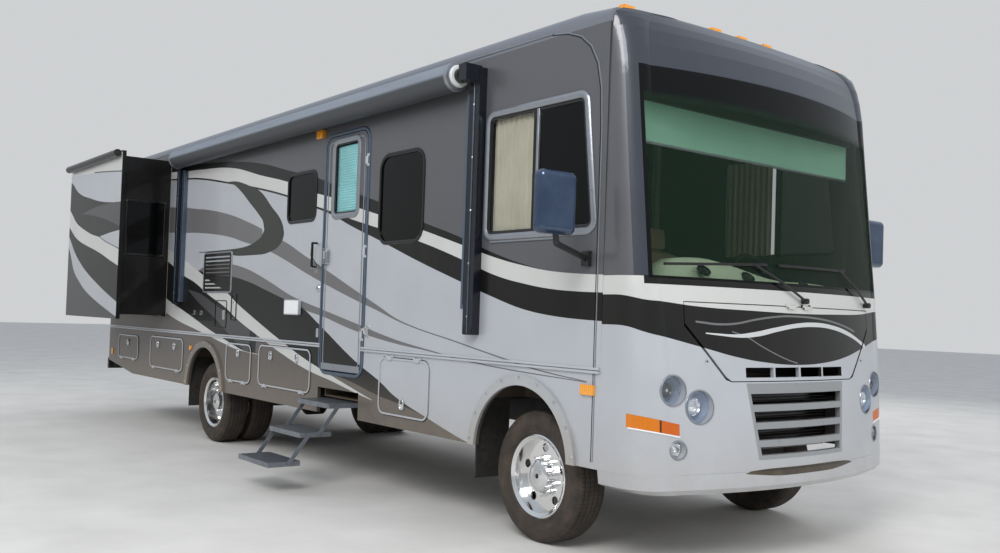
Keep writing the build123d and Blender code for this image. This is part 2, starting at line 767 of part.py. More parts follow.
def make_bay_door(row):
    """Storage door with its raised rim, latches and hinge barrels."""
    side = row[1]
    y0, y1, z0, z1 = bay_box(row, 0.0)
    door = side_plate(side, half_width + 3.0, half_width - 22.0, y0, y1, z0, z1, bay_corner)
    rim = side_plate(side, half_width + bay_proud, half_width, y0, y1, z0, z1, bay_corner)
    rim = rim - side_plate(side, half_width + bay_proud + 3.0, half_width - 1.0, y0 + bay_rim, y1 - bay_rim,
                           z0 + bay_rim, z1 - bay_rim, bay_corner - bay_rim)
    door = door + rim
    latches = [(y0 + y1) / 2]
    if y1 - y0 > 900.0:
        latches = [y0 + (y1 - y0) * 0.25, y0 + (y1 - y0) * 0.75]
    z = z1 - 95.0 if row[6] < 0 else z0 + 95.0
    for y in latches:
        door = door + side_plate(side, half_width + 14.0, half_width, y - 28.0, y + 28.0, z - 42.0, z + 42.0, 20.0)
    for y in bay_hinges(row):
        door = door + hinge_y(row, y, "barrel")
    return door


def make_floor():
    """Floor deck with raised wheel housings and the step well."""
    x = half_width - wall_thickness - seat_gap
    deck = box(-x, x, cap_seam_y + 60.0, tail_seam_y - seat_gap, floor_under_z, floor_top_z)
    housing_top = arch_centre_z + arch_radius + 40.0
    for side in (-1, 1):
        for y, inner_x in ((front_arch_y, kingpin_x - 10.0), (rear_arch_y, dual_inner_x - 195.0)):
            r = arch_radius + 30.0
            hull = box(side * inner_x, side * x, y - r, y + r, floor_top_z - 5.0, housing_top)
            cut = box(side * (inner_x + housing_sheet), side * (x + 20.0), y - r + housing_sheet,
                      y + r - housing_sheet, floor_under_z - 10.0, housing_top - housing_sheet)
            deck = deck + hull - cut
    deck = deck - box(-x - 1.0, -well_x, well_y0, well_y1, well_floor_z, floor_top_z + 80.0)
    pan = box(-x, -well_x + well_sheet, well_y0 - well_sheet, well_y1 + well_sheet, well_floor_z, floor_top_z - 2.0)
    pan = pan - box(-x - 1.0, -well_x, well_y0, well_y1, well_floor_z + well_sheet, floor_top_z + 80.0)
    return deck + pan


def roof_section(y, drop):
    """Crowned cross section of the roof at one station."""
    h = half_width
    low = wall_top_z + seat_gap
    edge = wall_top_z + 40.0
    shoulder = (h - 22.0, y, wall_top_z + 92.0 - drop * 0.4)
    crown = (h - 75.0, y, wall_top_z + 118.0 - drop * 0.6)
    outline = Curve() + [
        Line((-h, y, low), (-h, y, edge)),
        ThreePointArc((-h, y, edge), (-shoulder[0], y, shoulder[2]), (-crown[0], y, crown[2])),
        ThreePointArc((-crown[0], y, crown[2]), (0.0, y, roof_top_z - drop), crown),
        ThreePointArc(crown, shoulder, (h, y, edge)),
        Line((h, y, edge), (h, y, low)),
        Line((h, y, low), (-h, y, low)),
    ]
    return make_face(outline)


def rounded_tail(y0, z0, z1):
    """Full-width block with the rounded rear corners of the body."""
    block = box(-half_width, half_width, y0, tail_y, z0, z1)
    rear = [e for e in block.edges().filter_by(Axis.Z) if e.center().Y > (y0 + tail_y) / 2]
    return fillet(rear, tail_corner_radius)


def make_roof():
    """Crowned roof with rounded rear corners and a sloped front end."""
    ramp_y = cap_seam_y + roof_ramp
    front = loft([roof_section(cap_seam_y + seat_gap, roof_front_drop), roof_section(ramp_y, 0.0)], ruled=True)
    long = extrude(roof_section(ramp_y, 0.0), amount=tail_y - ramp_y, dir=(0, 1, 0))
    roof = (front + long) & rounded_tail(cap_seam_y - 10.0, wall_top_z - 100.0, roof_top_z + 100.0)
    x = half_width - 60.0
    return roof - box(-x, x, cap_seam_y + 60.0, tail_seam_y - 20.0, wall_top_z - 10.0, wall_top_z + 55.0)


roof_body = make_roof()


def tail_lamp_box(side, grow):
    """Recess or body of an upright rear lamp."""
    x = side * (half_width - tail_lamp_inset)
    half = tail_lamp_width / 2 + grow
    deep = tail_y - 29.0 - grow
    return box(x - half, x + half, deep, tail_y + 12.0, tail_lamp_z0 - grow, tail_lamp_z0 + tail_lamp_height + grow)


def rear_window_plate(y0, y1, grow):
    """Rounded plate of the rear window between two Y planes."""
    width, height, z, corner = REAR_WINDOW
    plane = Plane(origin=(0, y0, z), x_dir=(1, 0, 0), z_dir=(0, 1, 0))
    return extrude(plane * RectangleRounded(width + 2 * grow, height + 2 * grow, corner + grow), amount=y1 - y0)


def make_rear_cap():
    """Rear wall with rounded corners and its window."""
    low = bumper_z1
    outer = rounded_tail(tail_seam_y - 200.0, low, wall_top_z)
    outer = outer & box(-half_width - 1.0, half_width + 1.0, tail_seam_y + seat_gap, tail_y + 1.0, low, wall_top_z)
    x = half_width - tail_skin
    cap = outer - box(-x, x, tail_seam_y - 10.0, tail_y - tail_skin, low - 10.0, wall_top_z + 10.0)
    cap = cap - rear_window_plate(tail_y - 170.0, tail_y + 130.0, 0.0)
    for side in (-1, 1):
        cap = cap - tail_lamp_box(side, seat_gap)
    return cap


def make_window_glass():
    """Panes of the side and rear windows."""
    panes = []
    g = seat_gap
    outer = half_width - pane_setback
    for name, side, middle, width, z0, height, corner, rake in WINDOWS:
        panes.append(raked_plate(side, outer, outer - pane_thickness, middle - width / 2 + g,
                                 middle + width / 2 - g, z0 + g, z0 + height - g, corner, rake))
    panes.append(rear_window_plate(tail_y - pane_setback - pane_thickness, tail_y - pane_setback, -g))
    return Compound(children=panes)


def make_tail_lamps():
    """Upright rear lamp units and the high middle lamp."""
    high = box(-130.0, 130.0, tail_y + seat_gap, tail_y + 15.0, wall_top_z - 140.0, wall_top_z - 105.0)
    return Compound(children=[tail_lamp_box(-1, 0.0), tail_lamp_box(1, 0.0), high])


# Round side markers behind the rear axle; the road side's clears the storage door's hinges
round_marker_back = 468.0
round_marker_shift = 120.0
round_marker_drop = 139.0


def make_marker_lamps():
    """Clearance lamps on the brow, side markers and the porch lamp."""
    lamps = []
    y = cap_seam_y + 40.0
    for x, top in ((-270.0, 7.0), (0.0, 7.0), (270.0, 7.0), (-half_width + 195.0, -23.0), (half_width - 195.0, -23.0)):
        lamp = box(x - 45.0, x + 45.0, y, y + 50.0, roof_top_z - 110.0, roof_top_z + top)
        lamps.append(lamp - roof_body)
    for side in (-1, 1):
        x0 = side * (half_width + seat_gap)
        x1 = side * (half_width + 16.0)
        y_round = rear_axle_y + round_marker_back + (round_marker_shift if side > 0 else 0.0)
        z_round = belt_z - round_marker_drop
        lamps.append(rod((x0, y_round, z_round), (x1, y_round, z_round), 26.0))
        y_front = cap_seam_y + 38.0
        lamps.append(box(x0, x1, y_front, y_front + 112.0, belt_z - 125.0, belt_z - 65.0))
        y_tail = tail_seam_y - 170.0
        lamps.append(box(x0, side * (half_width + 12.0), y_tail, y_tail + 50.0, belt_z - 345.0, belt_z - 265.0))
    porch_y = door_y1 + 60.0
    porch_top = awning_z - awning_radius + porch_tuck
    lamps.append(box(-half_width - seat_gap, -half_width - porch_thick, porch_y, porch_y + porch_length,
                     porch_top - porch_height, porch_top))
    return gathered(lamps)


jack_pad_y = (front_axle_y + 980.0, rear_axle_y + 777.0)


def make_rails():
    """Two channel rails of the ladder frame with their floor pads."""
    rails = []
    half = rail_width / 2
    for side in (-1, 1):
        x = side * rail_centre_x
        rail = box(x - half, x + half, frame_front_y, frame_rear_y, rail_low_z, rail_top_z)
        hollow = box(x - side * (half + 1.0), x + side * (half - rail_web), frame_front_y - 1.0, frame_rear_y + 1.0,
                     rail_low_z + rail_web, rail_top_z - rail_web)
        pad = box(x - 30.0, x + 30.0, frame_front_y, frame_rear_y, rail_top_z - 2.0, floor_under_z - seat_gap)
        rail = rail - hollow + pad
        for y in jack_pad_y:
            rail = rail + box(x - 45.0, x + 45.0, y - 60.0, y + 60.0, rail_low_z - jack_pad_thick, rail_low_z + 1.0)
        rails.append(rail)
    return Compound(children=rails)


def make_crossmembers():
    """Crossmembers between the rails and outriggers under the floor."""
    bars = []
    reach = rail_centre_x + rail_width / 2 - rail_web
    low = rail_low_z + 20.0
    for y in (frame_front_y + 60.0, front_axle_y + 930.0, front_axle_y + 1830.0, front_axle_y + 2930.0,
              rear_axle_y - 1153.0, rear_axle_y + 847.0, rear_axle_y + 2047.0, frame_rear_y - 50.0):
        bars.append(box(-reach, reach, y - 40.0, y + 40.0, low, rail_top_z - 40.0))
    in_x = rail_centre_x + rail_width / 2
    out_x = half_width - wall_thickness - 25.0
    for y in (front_axle_y + 930.0, front_axle_y + 1930.0, rear_axle_y - 1203.0, rear_axle_y + 1997.0,
              frame_rear_y - 230.0):
        for side in (-1, 1):
            bars.append(box(side * in_x, side * out_x, y - 25.0, y + 25.0, rail_top_z - 40.0,
                            floor_under_z - seat_gap))
    return Compound(children=bars)


def spring_leaf(side, axle_y, reach, low, high):
    """Leaf spring under a frame rail with its two hangers."""
    x0 = side * (rail_centre_x - 35.0)
    x1 = side * (rail_centre_x + 35.0)
    leaf = box(x0, x1, axle_y - reach, axle_y + reach, low, high)
    for dy in (30.0 - reach, reach - 30.0):
        leaf = leaf + box(x0 + side * 5.0, x1 - side * 5.0, axle_y + dy - 25.0, axle_y + dy + 25.0, high - 10.0,
                          rail_low_z - seat_gap)
    return leaf


def make_axles():
    """Front beam and rear drive axle with their springs."""
    y = front_axle_y
    low = tyre_radius - 89.0
    high = tyre_radius - 9.0
    boss_high = tyre_radius + 86.0
    boss = 38.0
    front = box(-kingpin_x + boss, kingpin_x - boss, y - 45.0, y + 45.0, low, high)
    for side in (-1, 1):
        x = side * kingpin_x
        front = front + box(x - side * 60.0, x, y - 30.0, y + 30.0, low, high)
        front = front + rod((x, y, low), (x, y, boss_high), boss)
        front = front - rod((x, y, low - 30.0), (x, y, boss_high + 30.0), kingpin_radius + pin_gap)
        front = front + spring_leaf(side, y, 650.0, high - 1.0, high + 40.0)
    y = rear_axle_y
    z = tyre_radius
    tube_x = dual_inner_x - 105.0
    stub_x = dual_outer_x + 70.0
    profile = (
        (-stub_x, 0.0), (-stub_x, stub_radius), (-tube_x, stub_radius), (-tube_x, 62.0), (-190.0, 62.0),
        (-90.0, 175.0), (90.0, 175.0), (190.0, 62.0), (tube_x, 62.0), (tube_x, stub_radius),
        (stub_x, stub_radius), (stub_x, 0.0),
    )
    wire = Polyline(*[(x, y, z + r) for x, r in profile], close=True)
    rear = revolve(make_face(wire), axis=Axis((0, y, z), (1, 0, 0)))
    for side in (-1, 1):
        rear = rear + spring_leaf(side, y, 700.0, z + 59.0, z + 111.0)
        rear = rear + box(side * (rail_centre_x - 35.0), side * (rail_centre_x + 35.0), y - 60.0, y + 60.0,
                          z + 21.0, z + 61.0)
    return gathered([front, rear])


engine_front_y = frame_front_y + 100.0 + seat_gap
engine_rear_y = front_axle_y + 130.0
gearbox_rear_y = front_axle_y + 830.0


def make_engine():
    """Engine and gearbox as one plain block between the rails."""
    block = box(-340.0, 340.0, engine_front_y, engine_rear_y, skirt_bottom_z, floor_under_z - 2.0)
    return block + box(-180.0, 180.0, engine_rear_y, gearbox_rear_y, skirt_bottom_z, floor_under_z - 70.0)


def make_drive_shaft():
    """Two-piece shaft from the gearbox to the rear axle."""
    start = (0.0, gearbox_rear_y + seat_gap, skirt_bottom_z + 46.0)
    middle_y = (gearbox_rear_y + rear_axle_y) / 2
    middle = (0.0, middle_y, skirt_bottom_z + 40.0)
    end_y = rear_axle_y - 175.0 - seat_gap
    end = (0.0, end_y, tyre_radius + 10.0)
    joint = box(-60.0, 60.0, middle_y - 40.0, middle_y + 40.0, skirt_bottom_z - 20.0, skirt_bottom_z + 96.0)
    front = rod(start, middle, 48.0)
    rear = rod(middle, end, 48.0)
    keep = box(-300.0, 300.0, gearbox_rear_y + seat_gap, end_y, 200.0, floor_under_z)
    return (front + rear + joint) & keep


def make_fuel_tank():
    """Fuel tank between the rails behind the rear axle."""
    y0 = rear_axle_y + 920.0
    tank = box(-380.0, 380.0, y0, y0 + 1000.0, rail_low_z - 130.0, rail_top_z - 60.0)
    long = [e for e in tank.edges().filter_by(Axis.Y)]
    tank = fillet(long, 40.0)
    straps = []
    for y in (y0 + 220.0, y0 + 780.0):
        straps.append(box(-381.0 - seat_gap, 381.0 + seat_gap, y - 25.0, y + 25.0, rail_top_z - 70.0,
                          floor_under_z - seat_gap))
    return joined([tank] + straps)


def make_exhaust():
    """Exhaust pipe with its silencer along the road-side rail."""
    x = rail_centre_x + 170.0
    z = rail_low_z - 45.0
    y0 = front_axle_y + 1180.0
    y1 = rear_axle_y - 700.0
    pipe = rod((x, y0, z), (x, y1, z), 38.0)
    can = rod((x, y1 - 1250.0, z), (x, y1 - 350.0, z), 110.0)
    tail = rod((x, y1, z), (half_width - 90.0, y1 + 60.0, z - 40.0), 38.0) + (Pos(x, y1, z) * Sphere(38.0))
    hangers = []
    for y in (y0 + 200.0, y1 - 200.0):
        hangers.append(box(x - 12.0, x + 12.0, y - 12.0, y + 12.0, z, floor_under_z - seat_gap))
    return joined([pipe, can, tail] + hangers)


def make_knuckle(side):
    """Steering knuckle with its kingpin and stub axle."""
    y = front_axle_y
    x_in = side * (kingpin_x - 40.0)
    x_web = side * (kingpin_x + 52.0)
    x_out = side * (kingpin_x + 85.0)
    low_z = tyre_radius - 129.0
    top_z = tyre_radius + 126.0
    low = box(x_in, x_out, y - 40.0, y + 40.0, low_z, low_z + 34.0)
    top = box(x_in, x_out, y - 40.0, y + 40.0, top_z - 34.0, top_z)
    web = box(x_web, x_out, y - 40.0, y + 40.0, low_z, top_z)
    pin = rod((side * kingpin_x, y, low_z + 10.0), (side * kingpin_x, y, top_z - 15.0), kingpin_radius)
    stub = rod((x_out - side * 5.0, y, tyre_radius), (side * (front_wheel_x + 55.0), y, tyre_radius), stub_radius)
    return low + top + web + pin + stub


def turned(points, x_mid, side, axle_y):
    """Ring turned about an axle from (radius, offset) points."""
    wire = Polyline(*[(x_mid + side * dx, axle_y, tyre_radius + r) for r, dx in points], close=True)
    return revolve(make_face(wire), axis=Axis((0, axle_y, tyre_radius), (1, 0, 0)))


def tyre_solid(x_mid, axle_y):
    """Tyre ring with rounded shoulders, turned about the axle."""
    w = tyre_width / 2
    r = tyre_radius
    b = rim_bead_radius
    half = ((b, w - 34.0), (b + 30.0, w - 12.0), (b + 85.0, w), (r - 32.0, w - 8.0), (r - 8.0, w - 28.0), (r, w - 62.0))
    points = half + tuple((radius, -dx) for radius, dx in reversed(half))
    return turned(points, x_mid, 1, axle_y)


def rim_solid(side, x_mid, axle_y, disc_out):
    """Steel wheel: rim, dished disc with hand holes."""
    w = tyre_width / 2
    b = rim_bead_radius - seat_gap
    f = rim_flange_radius
    profile = (
        (f, w - 18.0), (b, w - 33.5), (b, -w + 33.5), (f, -w + 18.0), (f - 8.0, -w + 13.0),
        (b - 14.0, -w + 28.0), (b - 24.0, 0.0), (b - 14.0, w - 28.0), (f - 8.0, w - 13.0),
    )
    ring = turned(profile, x_mid, side, axle_y)
    face = x_mid + side * disc_out
    disc = rod((face - side * 12.0, axle_y, tyre_radius), (face, axle_y, tyre_radius), b - 10.0)
    holes = 5
    for i in range(holes):
        angle = math.radians(90.0 + 360.0 / holes * i)
        y = axle_y + hand_hole_pitch * math.cos(angle)
        z = tyre_radius + hand_hole_pitch * math.sin(angle)
        disc = disc - rod((face - side * 30.0, y, z), (face + side * 30.0, y, z), hand_hole_radius)
    return ring + disc


def axle_rod(side, x0, x1, axle_y, radius):
    """Round bar along an axle."""
    return rod((side * x0, axle_y, tyre_radius), (side * x1, axle_y, tyre_radius), radius)


def make_front_rim(side):
    """Front wheel with its outset hub."""
    wheel = rim_solid(side, side * front_wheel_x, front_axle_y, 40.0)
    hub = axle_rod(side, front_wheel_x - 105.0, front_wheel_x + 95.0, front_axle_y, 88.0)
    bore = axle_rod(side, front_wheel_x - 115.0, front_wheel_x + 57.0, front_axle_y, hub_bore_radius)
    return wheel + hub - bore


def make_rear_rims(side):
    """Pair of wheels back to back on one hub."""
    outer = rim_solid(side, side * dual_outer_x, rear_axle_y, -78.0)
    inner = rim_solid(-side, side * dual_inner_x, rear_axle_y, -86.0)
    hub = axle_rod(side, dual_inner_x - 75.0, dual_outer_x + 75.0, rear_axle_y, 84.0)
    bridge = axle_rod(side, dual_inner_x + 85.0, dual_outer_x - 80.0, rear_axle_y, 150.0)
    bore = axle_rod(side, dual_inner_x - 80.0, dual_outer_x + 71.0, rear_axle_y, hub_bore_radius)
    return outer + inner + bridge + hub - bore


def make_entry_door():
    """Entry door with its window opening, handle and hinge barrels."""
    x_out = half_width + 2.0
    x_in = x_out - door_thick
    middle = door_z1 - 3 * door_corner
    slab = side_plate(-1, x_out, x_in, door_y0, door_y1, middle - 3 * door_corner, door_z1, door_corner)
    slab = slab + box(-x_out, -x_in, door_y0, door_y1, door_z0, middle)
    slab = slab - side_plate(-1, half_width + 30.0, half_width - 60.0, door_glass_y0, door_glass_y1,
                             door_glass_z0, door_glass_z1, 45.0)
    handle_z = (door_z0 + door_z1) / 2 - 22.0
    slab = slab + box(-half_width - 34.0, -half_width, door_y1 - 95.0, door_y1 - 35.0, handle_z - 65.0,
                      handle_z + 65.0)
    for z in door_hinge_z:
        slab = slab + hinge_z(door_y0, z, "barrel")
    return slab


def make_entry_glass():
    """Pane of the entry door."""
    g = seat_gap
    return side_plate(-1, half_width - 6.0, half_width - 6.0 - pane_thickness, door_glass_y0 + g,
                      door_glass_y1 - g, door_glass_z0 + g, door_glass_z1 - g, 45.0)


def slide_side_window(grow):
    """Plan extents and levels of the window in the slide-out's front end."""
    depth = slide_span(-1)[2]
    x0 = -(half_width + depth - slide_glass_far) - grow
    x1 = -(half_width + slide_glass_near) + grow
    return x0, x1, slide_glass_z0 - grow, slide_glass_z0 + slide_glass_height + grow


def slide_road_window(x_out, x_in, grow):
    """Window plate in the outer wall of the road-side slide-out."""
    y0, y1, depth = slide_span(1)
    middle = (y0 + y1) / 2 - 50.0
    half = road_glass_width / 2 + grow
    return side_plate(1, x_out, x_in, middle - half, middle + half, road_glass_z0 - grow,
                      road_glass_z0 + road_glass_height + grow, road_glass_corner)


def make_slide_room(side):
    """Hollow room box with its outer wall, flange and topper roll."""
    y0, y1, depth = slide_span(side)
    x_out = half_width + depth
    x_in = half_width - slide_inside
    t = slide_wall
    f = slide_flange
    room = box(side * x_out, side * x_in, y0, y1, slide_z0, slide_z1)
    room = room - box(side * (x_out - t), side * (x_in - 5.0), y0 + t, y1 - t, slide_z0 + t, slide_z1 - t)
    room = room + box(side * x_out, side * (x_out - t), y0 - f, y1 + f, slide_z0 - f, slide_z1 + f)
    if side < 0:
        gx0, gx1, gz0, gz1 = slide_side_window(0.0)
        room = room - box(gx0, gx1, y0 - 10.0, y0 + t + 10.0, gz0, gz1)
    else:
        room = room - slide_road_window(x_out + 20.0, x_out - t - 20.0, 0.0)
    roll_x = side * (x_out + topper_radius - 0.5)
    roll_z = slide_z1 + 20.0
    return room + rod((roll_x, y0 - 20.0, roll_z), (roll_x, y1 + 20.0, roll_z), topper_radius)


def make_slide_glass(side):
    """Pane of a slide-out room."""
    y0, y1, depth = slide_span(side)
    if side < 0:
        gx0, gx1, gz0, gz1 = slide_side_window(-seat_gap)
        return box(gx0, gx1, y0 + pane_setback, y0 + pane_setback + pane_thickness, gz0, gz1)
    x_out = half_width + depth - pane_setback
    return slide_road_window(x_out, x_out - pane_thickness, -seat_gap)


def make_awning():
    """Rolled awning with its end caps and arms."""
    x = -half_width - awning_out
    z = awning_z
    parts = [rod((x, awning_y0, z), (x, awning_y1, z), awning_radius)]
    ends = ((awning_y0 - awning_gap - awning_arm / 2, belt_z + 190.0), (awning_y1 + awning_gap - 10.0, belt_z + 340.0))
    for y, low in ends:
        half = awning_arm / 2
        parts.append(box(-half_width - seat_gap, -half_width - arm_thick, y - half, y + half, low, z + 44.0))
        parts.append(box(-half_width - arm_thick + 22.0, x - 60.0, y - half + 10.0, y + half - 10.0, z - 56.0, z + 56.0))
        inner = awning_y0 + 10.0 if y < awning_y0 else awning_y1 - 10.0
        parts.append(rod((x, y, z), (x, inner, z), 40.0))
    return joined(parts)


def make_roof_units():
    """Cooling unit shrouds, vents and lids on the roof."""
    units = []
    base = roof_top_z - 60.0
    for x, y, length, width, height, edge in ROOF_UNITS:
        block = box(x - width / 2, x + width / 2, y - length / 2, y + length / 2, base, roof_top_z + height)
        upper = [e for e in block.edges() if e.center().Z > base + 30.0]
        units.append(chamfer(upper, edge) - roof_body)
    return gathered(units)


mirror_y = front_axle_y - 600.0


def make_mirrors():
    """Side mirrors on their arms."""
    base_x = -half_width - seat_gap
    arm_y = mirror_y + 80.0
    head_x = -half_width - 345.0
    one = box(base_x, base_x - 28.0, arm_y - 30.0, arm_y + 30.0, belt_z + 630.0, belt_z + 720.0)
    one = one + rod((base_x - 14.0, arm_y, belt_z + 675.0), (head_x + 20.0, mirror_y, belt_z + 740.0), 18.0)
    one = one + Pos(head_x + 20.0, mirror_y, belt_z + 740.0) * Sphere(18.0)
    one = one + rod((head_x + 20.0, mirror_y, belt_z + 740.0), (head_x, mirror_y, belt_z + 890.0), 18.0)
    head = box(head_x - 135.0, head_x + 135.0, mirror_y - 50.0, mirror_y + 50.0, belt_z + 790.0, belt_z + 1150.0)
    one = one + fillet(head.edges(), 40.0)
    return gathered([one, mirrored(one)])


def make_wipers():
    """Wiper arms with their blades on the glass."""
    parts = []
    hub_z = glass_z0 - wiper_hub_drop
    lift = wiper_blade_thick * 0.6 + 1.6
    spans = 8
    for x_pivot, x_hold, x_mid, rise_out, rise_in in WIPERS:
        turns = [math.tau * i / 24 for i in range(24)]
        rim = [nose_y(x_pivot + wiper_hub_radius * math.cos(t), hub_z + wiper_hub_radius * math.sin(t)) for t in turns]
        y_hub = min(rim) - seat_gap
        piece = rod((x_pivot, y_hub, hub_z), (x_pivot, y_hub - wiper_hub_long, hub_z), wiper_hub_radius)
        points = []
        for i in range(spans + 1):
            x = x_mid + wiper_blade_half * (2.0 * i / spans - 1.0)
            z = glass_z0 + rise_out + (rise_in - rise_out) * i / spans
            points.append((x, nose_y(x, z) - lift, z))
        share = (x_hold - x_mid + wiper_blade_half) / (2.0 * wiper_blade_half)
        hold_z = glass_z0 + rise_out + (rise_in - rise_out) * share
        hold = (x_hold, nose_y(x_hold, hold_z) - lift - 4.0, hold_z)
        x_knee = (x_pivot + x_hold) / 2
        z_knee = (hub_z + hold_z) / 2
        knee = (x_knee, nose_y(x_knee, z_knee) - wiper_knee_out, z_knee)
        piece = piece + rod((x_pivot, y_hub - wiper_hub_long * 0.65, hub_z), knee, wiper_arm_radius)
        piece = piece + Pos(*knee) * Sphere(wiper_arm_radius + 0.5) + rod(knee, hold, wiper_arm_radius)
        path = Polyline(*points)
        section = Plane(origin=path @ 0, z_dir=path % 0) * Rectangle(wiper_blade_thick, wiper_blade_thick)
        piece = piece + sweep(section, path=path, transition=Transition.RIGHT)
        parts.append(piece)
    return gathered(parts)


def make_dashboard():
    """Dash shelf, column and steering wheel."""
    inner = half_width - wall_thickness
    nose_shelf = (
        (cap_seam_y - 400.0, belt_z + 450.0), (cap_seam_y - 400.0, belt_z + 520.0),
        (cap_seam_y, belt_z + 562.0), (cap_seam_y, belt_z + 300.0), (cap_seam_y - 80.0, belt_z + 370.0),
    )
    shelf = prism_x(nose_shelf, -inner, inner) & nose_inner
    panel = (
        (cap_seam_y - 10.0, belt_z + 561.0), (cap_seam_y + 60.0, belt_z + 570.0), (cap_seam_y + 180.0, belt_z + 490.0),
        (cap_seam_y + 220.0, belt_z + 270.0), (cap_seam_y + 60.0, belt_z + 220.0), (cap_seam_y - 10.0, belt_z + 300.0),
    )
    shelf = shelf + prism_x(panel, -inner + 10.0, inner - 10.0)
    centre = (half_width - 655.0, cap_seam_y + 330.0, belt_z + 630.0)
    column = rod((centre[0], cap_seam_y + 40.0, belt_z + 450.0), centre, 35.0)
    ring = Location(centre) * (Rot(60, 0, 0) * Torus(225.0, 16.0))
    spoke = Location(centre) * (Rot(60, 0, 0) * Box(450.0, 40.0, 16.0))
    return shelf + column + ring + spoke


def make_seats():
    """Two cab chairs on pedestals."""
    chairs = []
    floor = floor_top_z
    y = front_axle_y + 350.0
    for x in (-620.0, 620.0):
        foot = box(x - 170.0, x + 170.0, y - 170.0, y + 170.0, floor + seat_gap, floor + 290.0)
        cushion = box(x - 260.0, x + 260.0, y - 280.0, y + 260.0, floor + 290.0, floor + 450.0)
        back = prism_x(((y + 150.0, floor + 440.0), (y + 290.0, floor + 440.0), (y + 430.0, floor + 1090.0),
                        (y + 320.0, floor + 1090.0)), x - 250.0, x + 250.0)
        head = prism_x(((y + 325.0, floor + 1090.0), (y + 425.0, floor + 1090.0), (y + 460.0, floor + 1280.0),
                        (y + 370.0, floor + 1280.0)), x - 150.0, x + 150.0)
        chair = foot + cushion + back + head
        for dx in (-300.0, 300.0):
            chair = chair + box(x + dx - 40.0, x + dx + 40.0, y - 150.0, y + 250.0, floor + 580.0, floor + 640.0)
            chair = chair + box(x + dx - 40.0, x + dx + 40.0, y + 160.0, y + 240.0, floor + 400.0, floor + 580.0)
        chairs.append(chair)
    return gathered(chairs)


def make_rear_bumper():
    """Rear bumper with the tow receiver and its pin hole."""
    beam_x = half_width - 35.0
    beam = box(-beam_x, beam_x, tail_y + seat_gap, rear_y, bumper_z0, bumper_z1)
    beam = beam + box(-beam_x + 60.0, beam_x - 60.0, tail_seam_y + 10.0, rear_y - 30.0, bumper_z0 + 20.0,
                      bumper_z1 - 40.0)
    half = receiver_half
    inner = half - receiver_wall
    z = receiver_z
    tube = box(-half, half, rear_y - 390.0, rear_y, z - half, z + half)
    plates = box(-60.0, 60.0, rear_y - 330.0, rear_y - 40.0, z + half - 4.0, bumper_z0 + 25.0)
    piece = beam + tube + plates
    piece = piece - box(-inner, inner, rear_y - 380.0, rear_y + 10.0, z - inner, z + inner)
    pin_y = rear_y - hitch_pin_back
    return piece - rod((-60.0, pin_y, z), (60.0, pin_y, z), hitch_pin_radius)


def tread(i):
    """Tread plate of a folding step."""
    x0 = step_outer_x[i]
    top = step_top_z[i]
    return box(x0, x0 + step_depth, step_y0, step_y1, top - step_plate, top)


def pin_pair(pivot):
    """Pins that stand out of both ends of a tread."""
    x, z = pivot
    low = rod((x, step_y0 + 10.0, z), (x, step_y0 - step_pin_out, z), step_pin_radius)
    high = rod((x, step_y1 - 10.0, z), (x, step_y1 + step_pin_out, z), step_pin_radius)
    return low + high


upper_pivot = (step_outer_x[0] + 75.0, step_top_z[0] - step_pin_drop)
middle_pivot = (upper_pivot[0] + link_reach_x, upper_pivot[1] + link_reach_z)
middle_low_pivot = (middle_pivot[0] - 90.0, middle_pivot[1])
lower_pivot = (middle_low_pivot[0] + link_reach_x, middle_low_pivot[1] + link_reach_z)


def make_step_upper():
    """Fixed upper tread with the arms that carry it."""
    piece = box(step_outer_x[0], -half_width + 125.0, step_y0, step_y1, step_top_z[0] - step_plate, step_top_z[0])
    piece = piece + pin_pair(upper_pivot)
    for y in (step_y0, step_y1 - 10.0):
        piece = piece + box(-half_width + 75.0, -well_x - 5.0, y, y + 10.0, step_top_z[0] - step_plate - 7.0,
                            well_floor_z - seat_gap)
    return piece


def make_step_links(a, b):
    """Flat bars on both sides between two pivots."""
    bars = []
    dx = b[0] - a[0]
    dz = b[1] - a[1]
    n = math.hypot(dx, dz)
    ux = -dz / n * strap_half
    uz = dx / n * strap_half
    edge = ((a[0] + ux, a[1] + uz), (b[0] + ux, b[1] + uz), (b[0] - ux, b[1] - uz), (a[0] - ux, a[1] - uz))
    for y in (step_y0 - strap_gap - strap_thick, step_y1 + strap_gap):
        bar = prism_y(edge, y, y + strap_thick)
        for p in (a, b):
            bar = bar + rod((p[0], y, p[1]), (p[0], y + strap_thick, p[1]), strap_half + 2.0)
        for p in (a, b):
            bar = bar - rod((p[0], y - 1.0, p[1]), (p[0], y + strap_thick + 1.0, p[1]), step_pin_radius + pin_gap)
        bars.append(bar)
    return gathered(bars)


def make_step_middle():
    """Middle tread with its pins."""
    return tread(1) + pin_pair(middle_pivot) + pin_pair(middle_low_pivot)


def make_step_lower():
    """Bottom tread with its pins."""
    return tread(2) + pin_pair(lower_pivot)


def save(name, shape):
    """Write one named piece."""
    shape.label = name
    export_step(shape, "parts/" + name + ".step")


